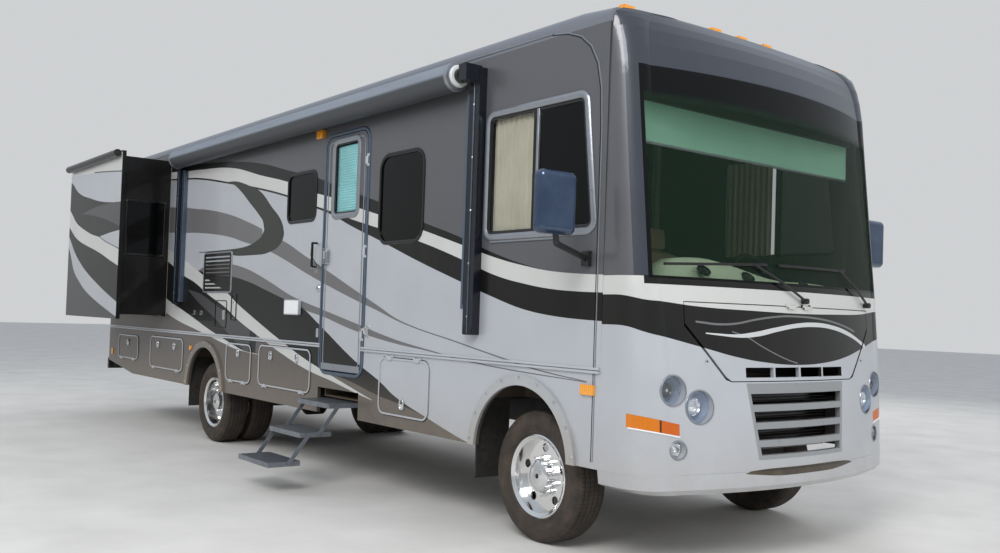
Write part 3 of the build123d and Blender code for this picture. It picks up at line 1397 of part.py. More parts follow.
save("chassis_rails", make_rails())
save("crossmembers", make_crossmembers())
save("axles", make_axles())
save("engine_block", make_engine())
save("drive_shaft", make_drive_shaft())
save("exhaust_pipe", make_exhaust())
save("fuel_tank", make_fuel_tank())
save("floor_deck", make_floor())
save("right_wall", make_side_wall(-1))
save("left_wall", make_side_wall(1))
save("side_skirts", make_skirts())
save("wheel_flares", make_flares())
save("mud_flaps", make_mud_flaps())
save("storage_tubs", make_storage_tubs())
save("rear_cap", make_rear_cap())
save("roof_shell", roof_body)
save("front_cap", make_front_cap())
save("windshield", make_windshield())
save("window_glass", make_window_glass())
save("hood_lid", make_hood_lid())
save("grille", make_grille())
save("front_bumper", make_front_bumper())
save("rear_bumper", make_rear_bumper())
save("headlamps", make_headlamps())
save("tail_lamps", make_tail_lamps())
save("marker_lamps", make_marker_lamps())
save("awning", make_awning())
save("roof_units", make_roof_units())
save("mirrors", make_mirrors())
save("wipers", make_wipers())
save("dashboard", make_dashboard())
save("cab_seats", make_seats())
save("entry_door", make_entry_door())
save("entry_door_glass", make_entry_glass())
save("step_upper", make_step_upper())
save("step_links_upper", make_step_links(upper_pivot, middle_pivot))
save("step_middle", make_step_middle())
save("step_links_lower", make_step_links(middle_low_pivot, lower_pivot))
save("step_lower", make_step_lower())
for side, word in ((-1, "curb"), (1, "road")):
    save("slide_room_" + word, make_slide_room(side))
    save("slide_glass_" + word, make_slide_glass(side))
for row in BAYS:
    save("bay_door_" + row[0], make_bay_door(row))
for side, word in ((-1, "right"), (1, "left")):
    dual_tyres = [tyre_solid(side * x, rear_axle_y) for x in (dual_outer_x, dual_inner_x)]
    save("knuckle_" + word, make_knuckle(side))
    save("front_rim_" + word, make_front_rim(side))
    save("front_tyre_" + word, tyre_solid(side * front_wheel_x, front_axle_y))
    save("rear_rims_" + word, make_rear_rims(side))
    save("rear_tyres_" + word, Compound(children=dual_tyres))
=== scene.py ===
"""Looks of a gas motorhome: paint, trim, glazing, cab fittings and lamps over its CAD frame."""
import math
from functools import partialmethod

import bmesh
import bpy
from mathutils import Matrix, Vector
from mathutils.bvhtree import BVHTree


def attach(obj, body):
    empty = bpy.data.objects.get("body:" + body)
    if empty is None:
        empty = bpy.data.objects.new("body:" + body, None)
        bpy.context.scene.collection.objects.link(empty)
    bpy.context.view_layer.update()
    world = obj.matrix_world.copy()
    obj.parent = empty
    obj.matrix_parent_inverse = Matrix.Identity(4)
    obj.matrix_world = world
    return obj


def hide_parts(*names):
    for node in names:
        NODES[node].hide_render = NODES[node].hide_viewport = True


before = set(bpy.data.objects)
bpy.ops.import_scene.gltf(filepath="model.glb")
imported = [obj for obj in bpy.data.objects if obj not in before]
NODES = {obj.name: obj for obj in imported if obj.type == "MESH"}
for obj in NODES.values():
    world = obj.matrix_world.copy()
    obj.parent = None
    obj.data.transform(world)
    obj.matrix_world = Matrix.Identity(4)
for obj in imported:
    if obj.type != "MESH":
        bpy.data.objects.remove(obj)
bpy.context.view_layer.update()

# Places and lengths in metres that the pieces share with the frame
HALF_WIDTH = 1.275
FRONT_AXLE_Y = -3.83
REAR_AXLE_Y = 1.453
AXLE_Z = 0.419
ARCH_Z = 0.53
FRONT_ARCH_Y = -3.77
REAR_ARCH_Y = 1.513
FRONT_WHEEL_X = 1.065
DUAL_OUTER_X = 1.08
TAIL_Y = 4.97
# The two sides, with the sign of their x
SIDES = (("curb", -1), ("road", 1))
# Stretch of the body and height that the stripes' edges are drawn over
BODY_SPAN = (-5.1, 5.1)
EDGE_RISE = 4.0


def shade(red, green, blue):
    """Linear colour of a paint chip given in 0-255."""
    parts = []
    for level in (red, green, blue):
        c = level / 255
        parts.append(c / 12.92 if c <= 0.04045 else ((c + 0.055) / 1.055) ** 2.4)
    return (*parts, 1.0)


class Finish:
    """One material's node tree, with a short call for each kind of node."""

    def __init__(self, name, colour=(0.5, 0.5, 0.5, 1.0), rough=0.5, **fixed):
        self.material = bpy.data.materials.new(name)
        self.material.use_nodes = True
        self.tree = self.material.node_tree
        self.tree.nodes.clear()
        self.edges = {}
        self.shader = self.add("ShaderNodeBsdfPrincipled")
        out = self.add("ShaderNodeOutputMaterial")
        self.tree.links.new(self.shader.outputs[0], out.inputs[0])
        self.set("Base Color", colour)
        self.set("Roughness", rough)
        for key, value in fixed.items():
            self.set(key.replace("_", " "), value)
        self.place = self.add("ShaderNodeTexCoord").outputs["Object"]
        split = self.add("ShaderNodeSeparateXYZ")
        self.tree.links.new(self.place, split.inputs[0])
        self.x, self.y, self.z = split.outputs
        self.turned = self.add("ShaderNodeSeparateXYZ")
        self.tree.links.new(self.place.node.outputs["Normal"], self.turned.inputs[0])

    def add(self, kind, **values):
        node = self.tree.nodes.new(kind)
        for key, value in values.items():
            setattr(node, key, value)
        return node

    def feed(self, socket, value):
        if isinstance(value, bpy.types.NodeSocket):
            self.tree.links.new(value, socket)
        else:
            socket.default_value = value

    def set(self, name, value):
        self.feed(self.shader.inputs[name], value)

    def calc(self, operation, a, b=0.0, clamp=False):
        node = self.add("ShaderNodeMath", operation=operation, use_clamp=clamp)
        self.feed(node.inputs[0], a)
        self.feed(node.inputs[1], b)
        return node.outputs[0]

    times = partialmethod(calc, "MULTIPLY")
    plus = partialmethod(calc, "ADD")
    minus = partialmethod(calc, "SUBTRACT")
    over = partialmethod(calc, "GREATER_THAN")
    under = partialmethod(calc, "LESS_THAN")
    most = partialmethod(calc, "MAXIMUM")
    size = partialmethod(calc, "ABSOLUTE")
    wave = partialmethod(calc, "SINE")

    def mix(self, factor, low, high):
        node = self.add("ShaderNodeMix", data_type="RGBA")
        self.feed(node.inputs[0], factor)
        self.feed(node.inputs[6], low)
        self.feed(node.inputs[7], high)
        return node.outputs[2]

    def spread(self, value, low, high, out_low=0.0, out_high=1.0):
        node = self.add("ShaderNodeMapRange")
        for socket, item in zip(node.inputs, (value, low, high, out_low, out_high)):
            self.feed(socket, item)
        return node.outputs[0]

    def noise(self, scale, detail=3.0, rough=0.55, stretch=None):
        node = self.add("ShaderNodeTexNoise")
        vector = self.place
        if stretch:
            mapping = self.add("ShaderNodeMapping")
            self.feed(mapping.inputs["Vector"], self.place)
            mapping.inputs["Scale"].default_value = stretch
            vector = mapping.outputs[0]
        self.feed(node.inputs["Vector"], vector)
        node.inputs["Scale"].default_value = scale
        node.inputs["Detail"].default_value = detail
        node.inputs["Roughness"].default_value = rough
        return node.outputs[0]

    def bump(self, height, distance, strength=1.0):
        node = self.add("ShaderNodeBump")
        node.inputs["Strength"].default_value = strength
        node.inputs["Distance"].default_value = distance
        self.feed(node.inputs["Height"], height)
        self.feed(self.shader.inputs["Normal"], node.outputs[0])

    def edge(self, points, along=None, span=BODY_SPAN):
        """Height of a stripe's edge at each place along the body, smooth through its points."""
        if points in self.edges:
            return self.edges[points]
        node = self.add("ShaderNodeFloatCurve")
        curve = node.mapping.curves[0]
        start, end = span
        pairs = [((a - start) / (end - start), b / EDGE_RISE) for a, b in sorted(points)]
        while len(curve.points) < len(pairs):
            curve.points.new(0.5, 0.5)
        for point, pair in zip(curve.points, pairs):
            point.location = pair
            point.handle_type = "AUTO_CLAMPED"
        node.mapping.use_clip = False
        node.mapping.update()
        place = self.spread(along or self.y, start, end)
        self.feed(node.inputs["Value"], place)
        self.edges[points] = self.times(node.outputs[0], EDGE_RISE)
        return self.edges[points]

    def below(self, edge):
        return self.under(self.z, edge)

    def behind(self, middle_y):
        """Faces that look towards the cabin instead of outwards."""
        across = self.times(self.turned.outputs[0], self.x)
        ahead = self.times(self.turned.outputs[1], self.minus(self.y, middle_y))
        return self.under(self.plus(across, ahead), -0.02)

    def within(self, low, high):
        over = self.over(self.z, low)
        return self.times(over, self.below(high))

    def stretch_of(self, mask, low, high, along=None):
        """The mask, kept only where the place along the body lies between two values."""
        along = along or self.y
        over = self.over(along, low)
        under = self.under(along, high)
        return self.times(mask, self.times(over, under))

    def striped(self, colour, rows, along=None, span=BODY_SPAN):
        """The colour with a table's stripes laid over it in turn.

        A row is the lower edge, the upper edge or the stripe's width above (below, if negative)
        the lower one, the ends along the body and the chip. None leaves that side open.
        """
        for low, high, ends, chip in rows:
            if low is not None:
                low = self.edge(low, along, span)
            if isinstance(high, float):
                other = self.plus(low, high)
                low, high = (other, low) if high < 0 else (low, other)
            elif high is not None:
                high = self.edge(high, along, span)
            if low is None:
                mask = self.below(high)
            elif high is None:
                mask = self.over(self.z, low)
            else:
                mask = self.within(low, high)
            if ends:
                mask = self.stretch_of(mask, *ends, along)
            colour = self.mix(mask, colour, chip)
        return colour


# Paint chips of the coachwork
SILVER = shade(184, 187, 192)
WHITE_STRIPE = shade(206, 206, 203)
BLACK_STRIPE = shade(17, 18, 19)
HOOK_GREEN = shade(49, 53, 48)
GUNMETAL = shade(92, 93, 97)
BAND_GREY = shade(113, 112, 113)
TAUPE = shade(98, 92, 87)
SMOKE = shade(72, 72, 74)
CROWN = shade(58, 62, 71)
# Dark warm lining of the cabin's inside, darkened as painted shade inside the cabin
CAB_LINING_SHADE = shade(52, 47, 42)
BLACK_TRIM = shade(17, 18, 20)


def coat(finish, colour, dust=0.5, flake=0.3, gloss=0.25):
    """Metallic base coat under lacquer, with fine flake, faint waviness and road dust low down."""
    tone = finish.noise(3.0, 2.0)
    fleck = finish.noise(900.0, 1.0)
    tone = finish.plus(finish.plus(finish.times(tone, 0.12), finish.times(fleck, 0.1)), 0.89)
    shaded = finish.add("ShaderNodeHueSaturation")
    finish.feed(shaded.inputs["Value"], tone)
    finish.feed(shaded.inputs["Color"], colour)
    grime = finish.times(finish.spread(finish.z, 0.95, 0.45), finish.noise(7.0, 6.0, 0.7))
    streak = finish.noise(9.0, 4.0, 0.6, (1.0, 1.0, 0.12))
    grime = finish.times(finish.plus(grime, finish.times(streak, 0.06)), dust, True)
    finish.set("Base Color", finish.mix(grime, shaded.outputs[0], shade(158, 143, 122)))
    rough = finish.plus(finish.times(grime, 0.5), finish.spread(tone, 0.9, 1.1, 0.3, 0.38))
    finish.set("Roughness", rough)
    finish.set("Metallic", flake)
    finish.set("Coat Weight", gloss)
    finish.set("Coat Roughness", 0.05)
    finish.set("Specular IOR Level", 0.22)
    finish.bump(finish.noise(26.0, 2.0), 0.0006, 0.35)
    return finish.material


# Edges of the side stripes, as (place along the body, height), from the tail to the nose
# Behind y = 1 the black stripe's top edge is lifted to the wall's top, so black fills the band
# there: painted shade.
HEAD_TOP = ((5.0, 3.3), (2.25, 3.02), (1.0, 2.925), (0.25, 2.826), (-0.34, 2.7), (-0.87, 2.59),
    (-1.19, 2.5), (-1.61, 2.387), (-1.95, 2.295), (-2.55, 2.109), (-3.0, 1.986), (-3.5, 1.83),
    (-3.8, 1.756), (-4.0, 1.72), (-4.25, 1.7), (-4.5, 1.69), (-5.1, 1.686))
HEAD_LOW = ((5.0, 3.15), (2.25, 2.95), (1.9, 2.93), (1.0, 2.86), (0.25, 2.71), (-0.31, 2.6),
    (-0.87, 2.453), (-1.19, 2.387), (-1.61, 2.276), (-1.95, 2.195), (-2.55, 2.05), (-3.0, 1.935),
    (-3.5, 1.807), (-3.8, 1.75), (-4.0, 1.72), (-4.25, 1.7), (-4.5, 1.69), (-5.1, 1.686))
WHITE_LOW = ((5.0, 3.04), (2.25, 2.87), (1.9, 2.84), (1.06, 2.72), (0.5, 2.63), (-0.3, 2.48),
             (-0.87, 2.34), (-1.19, 2.268), (-1.5, 2.19), (-1.95, 2.09), (-2.55, 1.958),
             (-3.0, 1.837), (-3.5, 1.69), (-3.75, 1.644), (-4.0, 1.61), (-4.25, 1.593),
             (-4.5, 1.586), (-5.1, 1.575))
BELT_LOW = ((5.0, 3.022), (2.25, 2.852), (1.9, 2.822), (1.06, 2.702), (0.5, 2.612), (-0.3, 2.462),
            (-0.87, 2.322), (-1.19, 2.24), (-1.5, 2.135), (-1.95, 1.998), (-2.55, 1.81),
            (-3.0, 1.68), (-3.5, 1.54), (-3.75, 1.481), (-4.0, 1.446), (-4.25, 1.428),
            (-4.5, 1.419), (-5.1, 1.4))
WING_TOP = ((5.0, 2.7), (2.25, 2.535), (1.9, 2.497), (1.65, 2.474), (1.0, 2.379), (0.5, 2.268),
    (0.25, 2.203), (0.0, 2.13))
WING_LOW = ((5.0, 2.4), (2.25, 2.25), (1.9, 2.234), (1.0, 2.15), (0.5, 2.062), (0.41, 2.052),
            (0.0, 2.04))
RIBBON_TOP = ((0.2, 2.15), (-0.258, 2.058), (-0.73, 1.9), (-1.1, 1.78), (-1.6, 1.609),
              (-2.0, 1.474), (-2.25, 1.388), (-2.5, 1.332), (-3.0, 1.253), (-3.5, 1.171),
              (-3.93, 1.106), (-4.38, 1.063))
RIBBON_LOW = ((0.2, 2.02), (0.0, 1.966), (-0.337, 1.874), (-0.73, 1.755), (-1.1, 1.655),
              (-1.6, 1.528), (-2.0, 1.435), (-2.25, 1.372), (-2.5, 1.322), (-3.0, 1.243),
              (-3.5, 1.161), (-3.93, 1.097), (-4.38, 1.057))
TAIL_TOP = ((2.4, 1.7), (1.8, 1.82), (1.48, 1.885), (1.2, 1.895), (0.9, 1.868), (0.5, 1.808),
            (0.0, 1.684), (-0.5, 1.545), (-1.1, 1.432), (-1.6, 1.342), (-2.25, 1.226),
            (-2.74, 1.166), (-3.0, 1.137), (-3.5, 1.098), (-4.38, 1.06))
TAIL_LOW = ((2.4, 1.7), (1.8, 1.812), (1.48, 1.77), (0.9, 1.742), (0.5, 1.69), (0.0, 1.589),
    (-0.43, 1.505), (-0.73, 1.43), (-1.1, 1.374), (-1.6, 1.279), (-2.25, 1.195), (-2.74, 1.156),
    (-3.0, 1.128), (-3.5, 1.089), (-4.38, 1.054))
WEDGE_TOP = TAIL_LOW[:7] + (
    (-0.63, 1.466), (-1.02, 1.308), (-1.69, 1.018), (-2.1, 0.874), (-2.25, 0.807),
    (-2.74, 0.674), (-3.2, 0.567), (-3.6, 0.5))
WEDGE_LOW = ((2.4, 1.98), (1.9, 1.842), (0.5, 1.395), (0.0, 1.23), (-0.6, 1.045), (-1.02, 0.926),
             (-1.26, 0.9), (-1.6, 0.858), (-2.02, 0.784), (-2.3, 0.75), (-2.74, 0.674),
             (-3.2, 0.567), (-3.6, 0.5))
SLASH_TOP = ((5.0, 2.85), (2.7, 2.07), (2.26, 1.953), (1.9, 1.842), (1.5, 1.716), (1.0, 1.578),
    (0.742, 1.474), (0.25, 1.308), (-0.337, 1.124), (-0.863, 0.979), (-1.26, 0.887), (-1.72, 0.787),
    (-1.95, 0.738), (-2.3, 0.66))
SLASH_LOW = ((5.0, 2.65), (2.7, 1.92), (2.26, 1.774), (1.9, 1.69), (1.5, 1.558), (1.0, 1.418),
    (0.742, 1.321), (0.25, 1.176), (-0.337, 1.018), (-0.863, 0.9), (-1.26, 0.842), (-1.72, 0.768),
    (-1.95, 0.735), (-2.3, 0.67))
SHARD_TOP = ((2.2, 1.63), (2.07, 1.61), (1.75, 1.571), (1.25, 1.44), (0.74, 1.31), (0.4, 1.22))
SHARD_LOW = ((2.2, 1.66), (2.07, 1.6), (1.75, 1.466), (1.25, 1.295), (1.0, 1.195), (0.742, 1.09),
    (0.4, 0.98))
LOWER_TOP = ((5.0, 2.25), (2.7, 1.49), (2.26, 1.387), (1.9, 1.303), (1.5, 1.203), (1.0, 1.097),
    (0.742, 1.045), (0.5, 1.005), (0.19, 0.987), (0.0, 0.95))
LOWER_LOW = ((5.0, 2.0), (2.7, 1.33), (2.26, 1.242), (1.9, 1.19), (1.5, 1.13), (1.0, 1.053),
             (0.742, 1.018), (0.5, 1.0), (0.19, 0.984), (0.0, 0.97))
HOOK_SPAN = (-0.4, 2.0)
HOOK_OUT_TOP = ((2.0, 2.66), (1.2, 2.7), (1.06, 2.722), (0.505, 2.629), (0.25, 2.545),
                (0.005, 2.387), (-0.18, 2.268), (-0.25, 2.19), (-0.275, 2.13), (-0.4, 2.12))
HOOK_OUT_LOW = ((2.0, 2.01), (1.742, 2.01), (0.9, 1.958), (0.716, 1.947), (0.32, 1.945),
                (0.005, 1.966), (-0.18, 2.018), (-0.25, 2.07), (-0.275, 2.12), (-0.4, 2.13))
HOOK_IN_TOP = ((2.0, 2.95), (1.2, 2.76), (1.06, 2.72), (0.95, 2.69), (0.742, 2.597), (0.505, 2.458),
    (0.295, 2.334), (0.19, 2.255), (0.16, 2.19), (-0.4, 2.18))
HOOK_IN_LOW = ((2.0, 2.019), (1.74, 2.018), (0.847, 2.022), (0.5, 2.045), (0.32, 2.084),
               (0.216, 2.124), (0.165, 2.17), (-0.4, 2.19))


# Stripes in the order in which they are laid on; Finish.striped says what the columns hold
UPPER_STRIPES = (
    (HEAD_TOP, None, None, GUNMETAL),
    (HEAD_LOW, HEAD_TOP, None, BLACK_STRIPE),
    (WHITE_LOW, HEAD_LOW, None, WHITE_STRIPE),
    (BELT_LOW, WHITE_LOW, None, BLACK_STRIPE),
    (WING_LOW, WING_TOP, (0.2, 5.1), BAND_GREY),
    (RIBBON_LOW, RIBBON_TOP, (-4.37, 0.05), BAND_GREY),
    (TAIL_LOW, TAIL_TOP, (-4.37, 1.85), BAND_GREY),
)
LOWER_STRIPES = (
    (None, WEDGE_TOP, (-3.6, 1.85), TAUPE),
    (WEDGE_LOW, WEDGE_TOP, (-2.8, 1.9), BLACK_STRIPE),
    (None, SLASH_LOW, (-1.9, 5.1), BLACK_STRIPE),
    (SHARD_LOW, SHARD_TOP, (0.4, 2.07), SMOKE),
    (None, LOWER_LOW, (0.0, 5.1), TAUPE),
    (None, SLASH_LOW, (-2.3, 0.25), TAUPE),
    (SLASH_LOW, SLASH_TOP, (-1.94, 5.1), WHITE_STRIPE),
    (LOWER_LOW, LOWER_TOP, (0.19, 5.1), WHITE_STRIPE),
)


def side_colours(f):
    """Swept stripes of the side, as one colour by place along the body and height."""
    colour = f.striped(SILVER, UPPER_STRIPES)
    parts = []
    for low, high, start, end in ((HOOK_OUT_LOW, HOOK_OUT_TOP, -0.272, 1.8),
                                  (HOOK_IN_LOW, HOOK_IN_TOP, 0.163, 2.2)):
        band = f.within(f.edge(low, None, HOOK_SPAN), f.edge(high, None, HOOK_SPAN))
        parts.append(f.stretch_of(band, start, end))
    colour = f.mix(f.minus(*parts, True), colour, HOOK_GREEN)
    return f.striped(colour, LOWER_STRIPES)


def side_paint():
    """Coachwork of walls, doors and skirts; what stands proud of them is bright trim, and their
    inside faces are dark grey as painted shade.
    """
    f = Finish("coach_side_paint")
    reach = f.size(f.x)
    # The vent's proud parts are black: the slats' own dark, partly painted shade in the vent's
    # openings.
    vent = f.stretch_of(f.within(1.585, 1.995), 0.895, 1.63)
    handle = f.times(f.within(1.795, 2.015), f.over(reach, HALF_WIDTH + 0.012))
    dark = f.most(vent, f.stretch_of(handle, -1.03, -0.89))
    trim = f.mix(dark, shade(186, 189, 194), shade(18, 19, 20))
    colour = f.mix(f.over(reach, HALF_WIDTH + 0.0055), side_colours(f), trim)
    # Inside faces are dark grey: painted shade inside the coach.
    return coat(f, f.mix(f.under(reach, HALF_WIDTH - 0.003), colour, shade(66, 66, 67)))


# Edges of the bedroom slide-out's stripes
SLIDE_FIELD_LOW = ((4.9, 3.0), (4.75, 2.956), (4.5, 2.836), (4.25, 2.764), (4.0, 2.72), (3.5, 2.64),
    (3.0, 2.594), (2.6, 2.57))
SLIDE_PIN = ((4.9, 3.06), (3.78, 3.004), (3.25, 2.966), (2.75, 2.924), (2.6, 2.91))
SLIDE_DART_TOP = ((4.9, 2.5), (4.28, 2.532), (4.0, 2.56), (3.5, 2.59), (3.0, 2.592), (2.6, 2.575))
SLIDE_DART_LOW = ((4.9, 2.53), (4.28, 2.53), (4.0, 2.51), (3.5, 2.45), (3.0, 2.36), (2.6, 2.28))
SLIDE_LITE_TOP = ((4.9, 2.0), (3.5, 2.214), (3.25, 2.235), (3.0, 2.25), (2.6, 2.265))
SLIDE_MID_TOP = ((4.9, 2.66), (4.75, 2.58), (4.5, 2.44), (4.25, 2.36), (4.0, 2.3), (3.75, 2.25),
    (3.5, 2.214), (3.25, 2.15), (3.0, 2.1), (2.6, 2.02))
SLIDE_MID_LOW = ((4.9, 2.444), (4.75, 2.364), (4.5, 2.25), (4.25, 2.18), (4.0, 2.13), (3.5, 2.036),
    (3.0, 1.92), (2.6, 1.83))
SLIDE_SILL_TOP = ((4.9, 2.34), (4.75, 2.23), (4.5, 2.05), (4.25, 1.924), (4.0, 1.82), (3.5, 1.66),
    (3.0, 1.52), (2.6, 1.42))
SLIDE_SILL_LOW = ((4.9, 2.2), (4.75, 2.08), (4.5, 1.81), (4.25, 1.684), (4.0, 1.584), (3.5, 1.45),
    (3.0, 1.34), (2.6, 1.26))


SLIDE_STRIPES = (
    (SLIDE_FIELD_LOW, None, None, SILVER),
    (SLIDE_PIN, None, None, WHITE_STRIPE),
    (SLIDE_PIN, 0.014, (2.5, 3.8), SMOKE),
    (SLIDE_DART_LOW, SLIDE_DART_TOP, (2.5, 4.28), SMOKE),
    (SLIDE_MID_TOP, SLIDE_LITE_TOP, (2.5, 3.5), SILVER),
    (SLIDE_MID_TOP, 0.012, (2.5, 3.5), SMOKE),
    (SLIDE_MID_LOW, SLIDE_MID_TOP, None, WHITE_STRIPE),
    (None, SLIDE_SILL_LOW, None, SMOKE),
    (SLIDE_SILL_LOW, SLIDE_SILL_TOP, None, SILVER),
)


def slide_colours(f):
    """Stripes of the bedroom slide-out's outer wall."""
    return f.striped(BLACK_STRIPE, SLIDE_STRIPES)


def slide_paint(name, outer_x, colours):
    """Outer wall of a slide-out in stripes; its ends, flange edges and topper are plain."""
    f = Finish(name)
    reach = f.size(f.x)
    wall_top, topper_low = 3.15, 3.2
    skin = f.times(f.over(reach, outer_x - 0.0015), f.below(wall_top))
    topper = f.most(f.over(reach, outer_x + 0.001), f.over(f.z, topper_low))
    colour = f.mix(skin, BLACK_TRIM, colours(f))
    colour = f.mix(f.under(reach, HALF_WIDTH), colour, shade(196, 188, 172))
    topper = f.times(topper, f.over(reach, outer_x - 0.05))
    return coat(f, f.mix(topper, colour, shade(38, 40, 42)))


# Edges of the nose's stripes, as (place across the body, height)
NOSE_SPAN = (-1.4, 1.4)
BAND_TOP = ((-1.3, 1.586), (-1.2, 1.552), (-1.1, 1.545), (-0.86, 1.524), (-0.4, 1.511),
            (0.0, 1.506), (0.4, 1.511), (0.86, 1.524), (1.1, 1.545), (1.2, 1.552), (1.3, 1.586))
BAND_LOW = ((-1.3, 1.412), (-1.26, 1.397), (-1.21, 1.372), (-1.05, 1.336), (-0.82, 1.286),
            (-0.57, 1.234), (-0.33, 1.203), (0.0, 1.187), (0.33, 1.203), (0.57, 1.234),
            (0.82, 1.286), (1.05, 1.336), (1.21, 1.372), (1.26, 1.397), (1.3, 1.412))
SWOOSH_TOP = ((-0.9, 1.378), (-0.73, 1.371), (-0.6, 1.367), (-0.434, 1.382), (-0.232, 1.415),
    (0.0, 1.446), (0.17, 1.454), (0.39, 1.441), (0.617, 1.402), (0.84, 1.335), (0.95, 1.3))
SWOOSH_LOW = ((-0.9, 1.376), (-0.706, 1.359), (-0.53, 1.349), (-0.377, 1.36), (-0.212, 1.39),
    (0.0, 1.419), (0.193, 1.426), (0.39, 1.414), (0.58, 1.382), (0.78, 1.33), (0.95, 1.26))
FINE_LINE = ((-0.95, 1.436), (-0.836, 1.427), (-0.704, 1.418), (-0.563, 1.426), (-0.412, 1.452),
    (-0.251, 1.472), (-0.075, 1.482), (0.15, 1.478), (0.45, 1.45), (0.75, 1.39), (0.95, 1.33))
FALL_LINE = ((-0.6, 1.38), (-0.474, 1.347), (-0.379, 1.305), (-0.238, 1.252), (-0.109, 1.213),
             (0.0, 1.19))
VALANCE_TOP = ((-0.56, 0.556), (-0.5, 0.567), (-0.2, 0.576), (0.2, 0.576), (0.5, 0.567),
               (0.56, 0.556))
VALANCE_LOW = ((-0.56, 0.556), (-0.5, 0.55), (-0.2, 0.531), (0.2, 0.531), (0.5, 0.55),
               (0.56, 0.556))


NOSE_STRIPES = (
    (BAND_LOW, BAND_TOP, None, BLACK_STRIPE),
    (FALL_LINE, 0.007, (-0.6, -0.02), shade(120, 120, 122)),
    (FINE_LINE, 0.012, (-0.87, 0.72), shade(112, 112, 114)),
    (SWOOSH_LOW, SWOOSH_TOP, (-0.8, 0.9), shade(206, 207, 208)),
    (VALANCE_LOW, VALANCE_TOP, (-0.55, 0.55), shade(16, 16, 17)),
)
# Heights of the dark crown's lower edge and of the black cowl under the windscreen
CROWN_LOW = 1.686
COWL = (1.642, 1.69)


def nose_paint():
    """Nose cap, hood and bumper: dark crown, white line, black belt with swooshes, silver below."""
    f = Finish("coach_nose_paint")
    reach = f.size(f.x)
    # The crown's sides past |x| 1.235 keep the walls' gunmetal, lighter than its darker front:
    # partly the paint carried round, partly painted sunlight on the pillars.
    crown = f.mix(f.times(f.over(reach, 1.235), f.over(f.z, 1.66)), CROWN, GUNMETAL)
    colour = f.striped(SILVER, ((BAND_TOP, None, None, WHITE_STRIPE),), f.x, NOSE_SPAN)
    colour = f.mix(f.over(f.z, CROWN_LOW), colour, crown)
    colour = f.mix(f.times(f.within(*COWL), f.under(reach, 1.195)), colour, shade(14, 14, 15))
    colour = f.striped(colour, NOSE_STRIPES, f.x, NOSE_SPAN)
    # Faces towards the cabin take the dark lining: painted shade.
    return coat(f, f.mix(f.behind(-4.2), colour, CAB_LINING_SHADE), gloss=0.5)


# Edges of the tail's stripes, as (distance from the middle, height)
REAR_SPAN = (0.0, 1.4)
REAR_CROWN = ((0.0, 2.35), (0.5, 2.4), (0.9, 2.62), (1.2, 2.98), (1.4, 3.05))
REAR_MID = ((0.0, 2.24), (0.5, 2.28), (0.9, 2.46), (1.2, 2.8), (1.4, 2.9))
REAR_SWEEP_TOP = ((0.0, 1.62), (0.5, 1.66), (0.9, 1.84), (1.2, 2.1), (1.4, 2.3))
REAR_SWEEP_LOW = ((0.0, 1.5), (0.5, 1.53), (0.9, 1.66), (1.2, 1.9), (1.4, 2.1))


TAIL_STRIPES = (
    (REAR_CROWN, None, None, GUNMETAL),
    (REAR_MID, REAR_CROWN, None, WHITE_STRIPE),
    (REAR_MID, -0.03, None, BLACK_STRIPE),
    (None, REAR_SWEEP_LOW, None, BLACK_STRIPE),
)


def tail_paint():
    """Rear cap: gunmetal crown, white arc, silver field, black sweep and taupe below."""
    f = Finish("coach_tail_paint")
    wide = f.size(f.x)
    colour = f.striped(SILVER, TAIL_STRIPES, wide, REAR_SPAN)
    low = f.edge(REAR_SWEEP_LOW, wide, REAR_SPAN)
    colour = f.mix(f.below(f.minus(low, 0.22)), colour, TAUPE)
    return coat(f, f.striped(colour, ((REAR_SWEEP_LOW, REAR_SWEEP_TOP, None, WHITE_STRIPE),), wide,
                             REAR_SPAN))


def toned(colour, share, lift=0.0):
    """The colour made darker or paler."""
    return (*(min(1.0, level * share + lift) for level in colour[:3]), 1.0)


def plastic(name, colour, rough=0.5, grain=0.0004, scale=450.0, wear=0.25, metal=0.0):
    """Moulded plastic or painted part with fine grain, uneven sheen and dust in its tone."""
    f = Finish(name, colour, rough, Metallic=metal)
    patch = f.noise(14.0, 5.0, 0.65)
    fine = f.noise(scale, 2.0)
    dusty = f.times(f.spread(patch, 0.42, 0.75), wear, True)
    f.set("Base Color", f.mix(dusty, colour, toned(colour, 1.5, 0.03)))
    f.set("Roughness", f.plus(f.times(patch, 0.22), rough - 0.1, True))
    f.bump(fine, grain, 0.6)
    return f.material


def bright(name, colour=(0.78, 0.79, 0.8, 1.0), rough=0.12, metal=1.0, brushed=False):
    """Chrome or bare metal with faint smears and pitting."""
    f = Finish(name, colour, rough, Metallic=metal)
    smear = f.noise(18.0, 5.0, 0.6, (1.0, 0.2, 1.0) if brushed else None)
    f.set("Roughness", f.plus(f.times(smear, 0.22), rough - 0.06, True))
    dirt = f.times(f.spread(f.noise(40.0, 6.0, 0.7), 0.55, 0.85), 0.35, True)
    f.set("Base Color", f.mix(dirt, colour, toned(colour, 0.45)))
    f.bump(f.noise(260.0, 2.0), 0.0003, 0.25)
    return f.material


def rubber(name):
    """Black rubber with a grey bloom."""
    colour = (0.018, 0.017, 0.016, 1.0)
    f = Finish(name, colour, 0.62)
    bloom = f.noise(22.0, 6.0, 0.7)
    f.set("Base Color", f.mix(f.spread(bloom, 0.4, 0.8, 0.0, 0.35), colour, shade(92, 84, 74)))
    f.bump(f.noise(320.0, 3.0), 0.0005, 0.5)
    return f.material


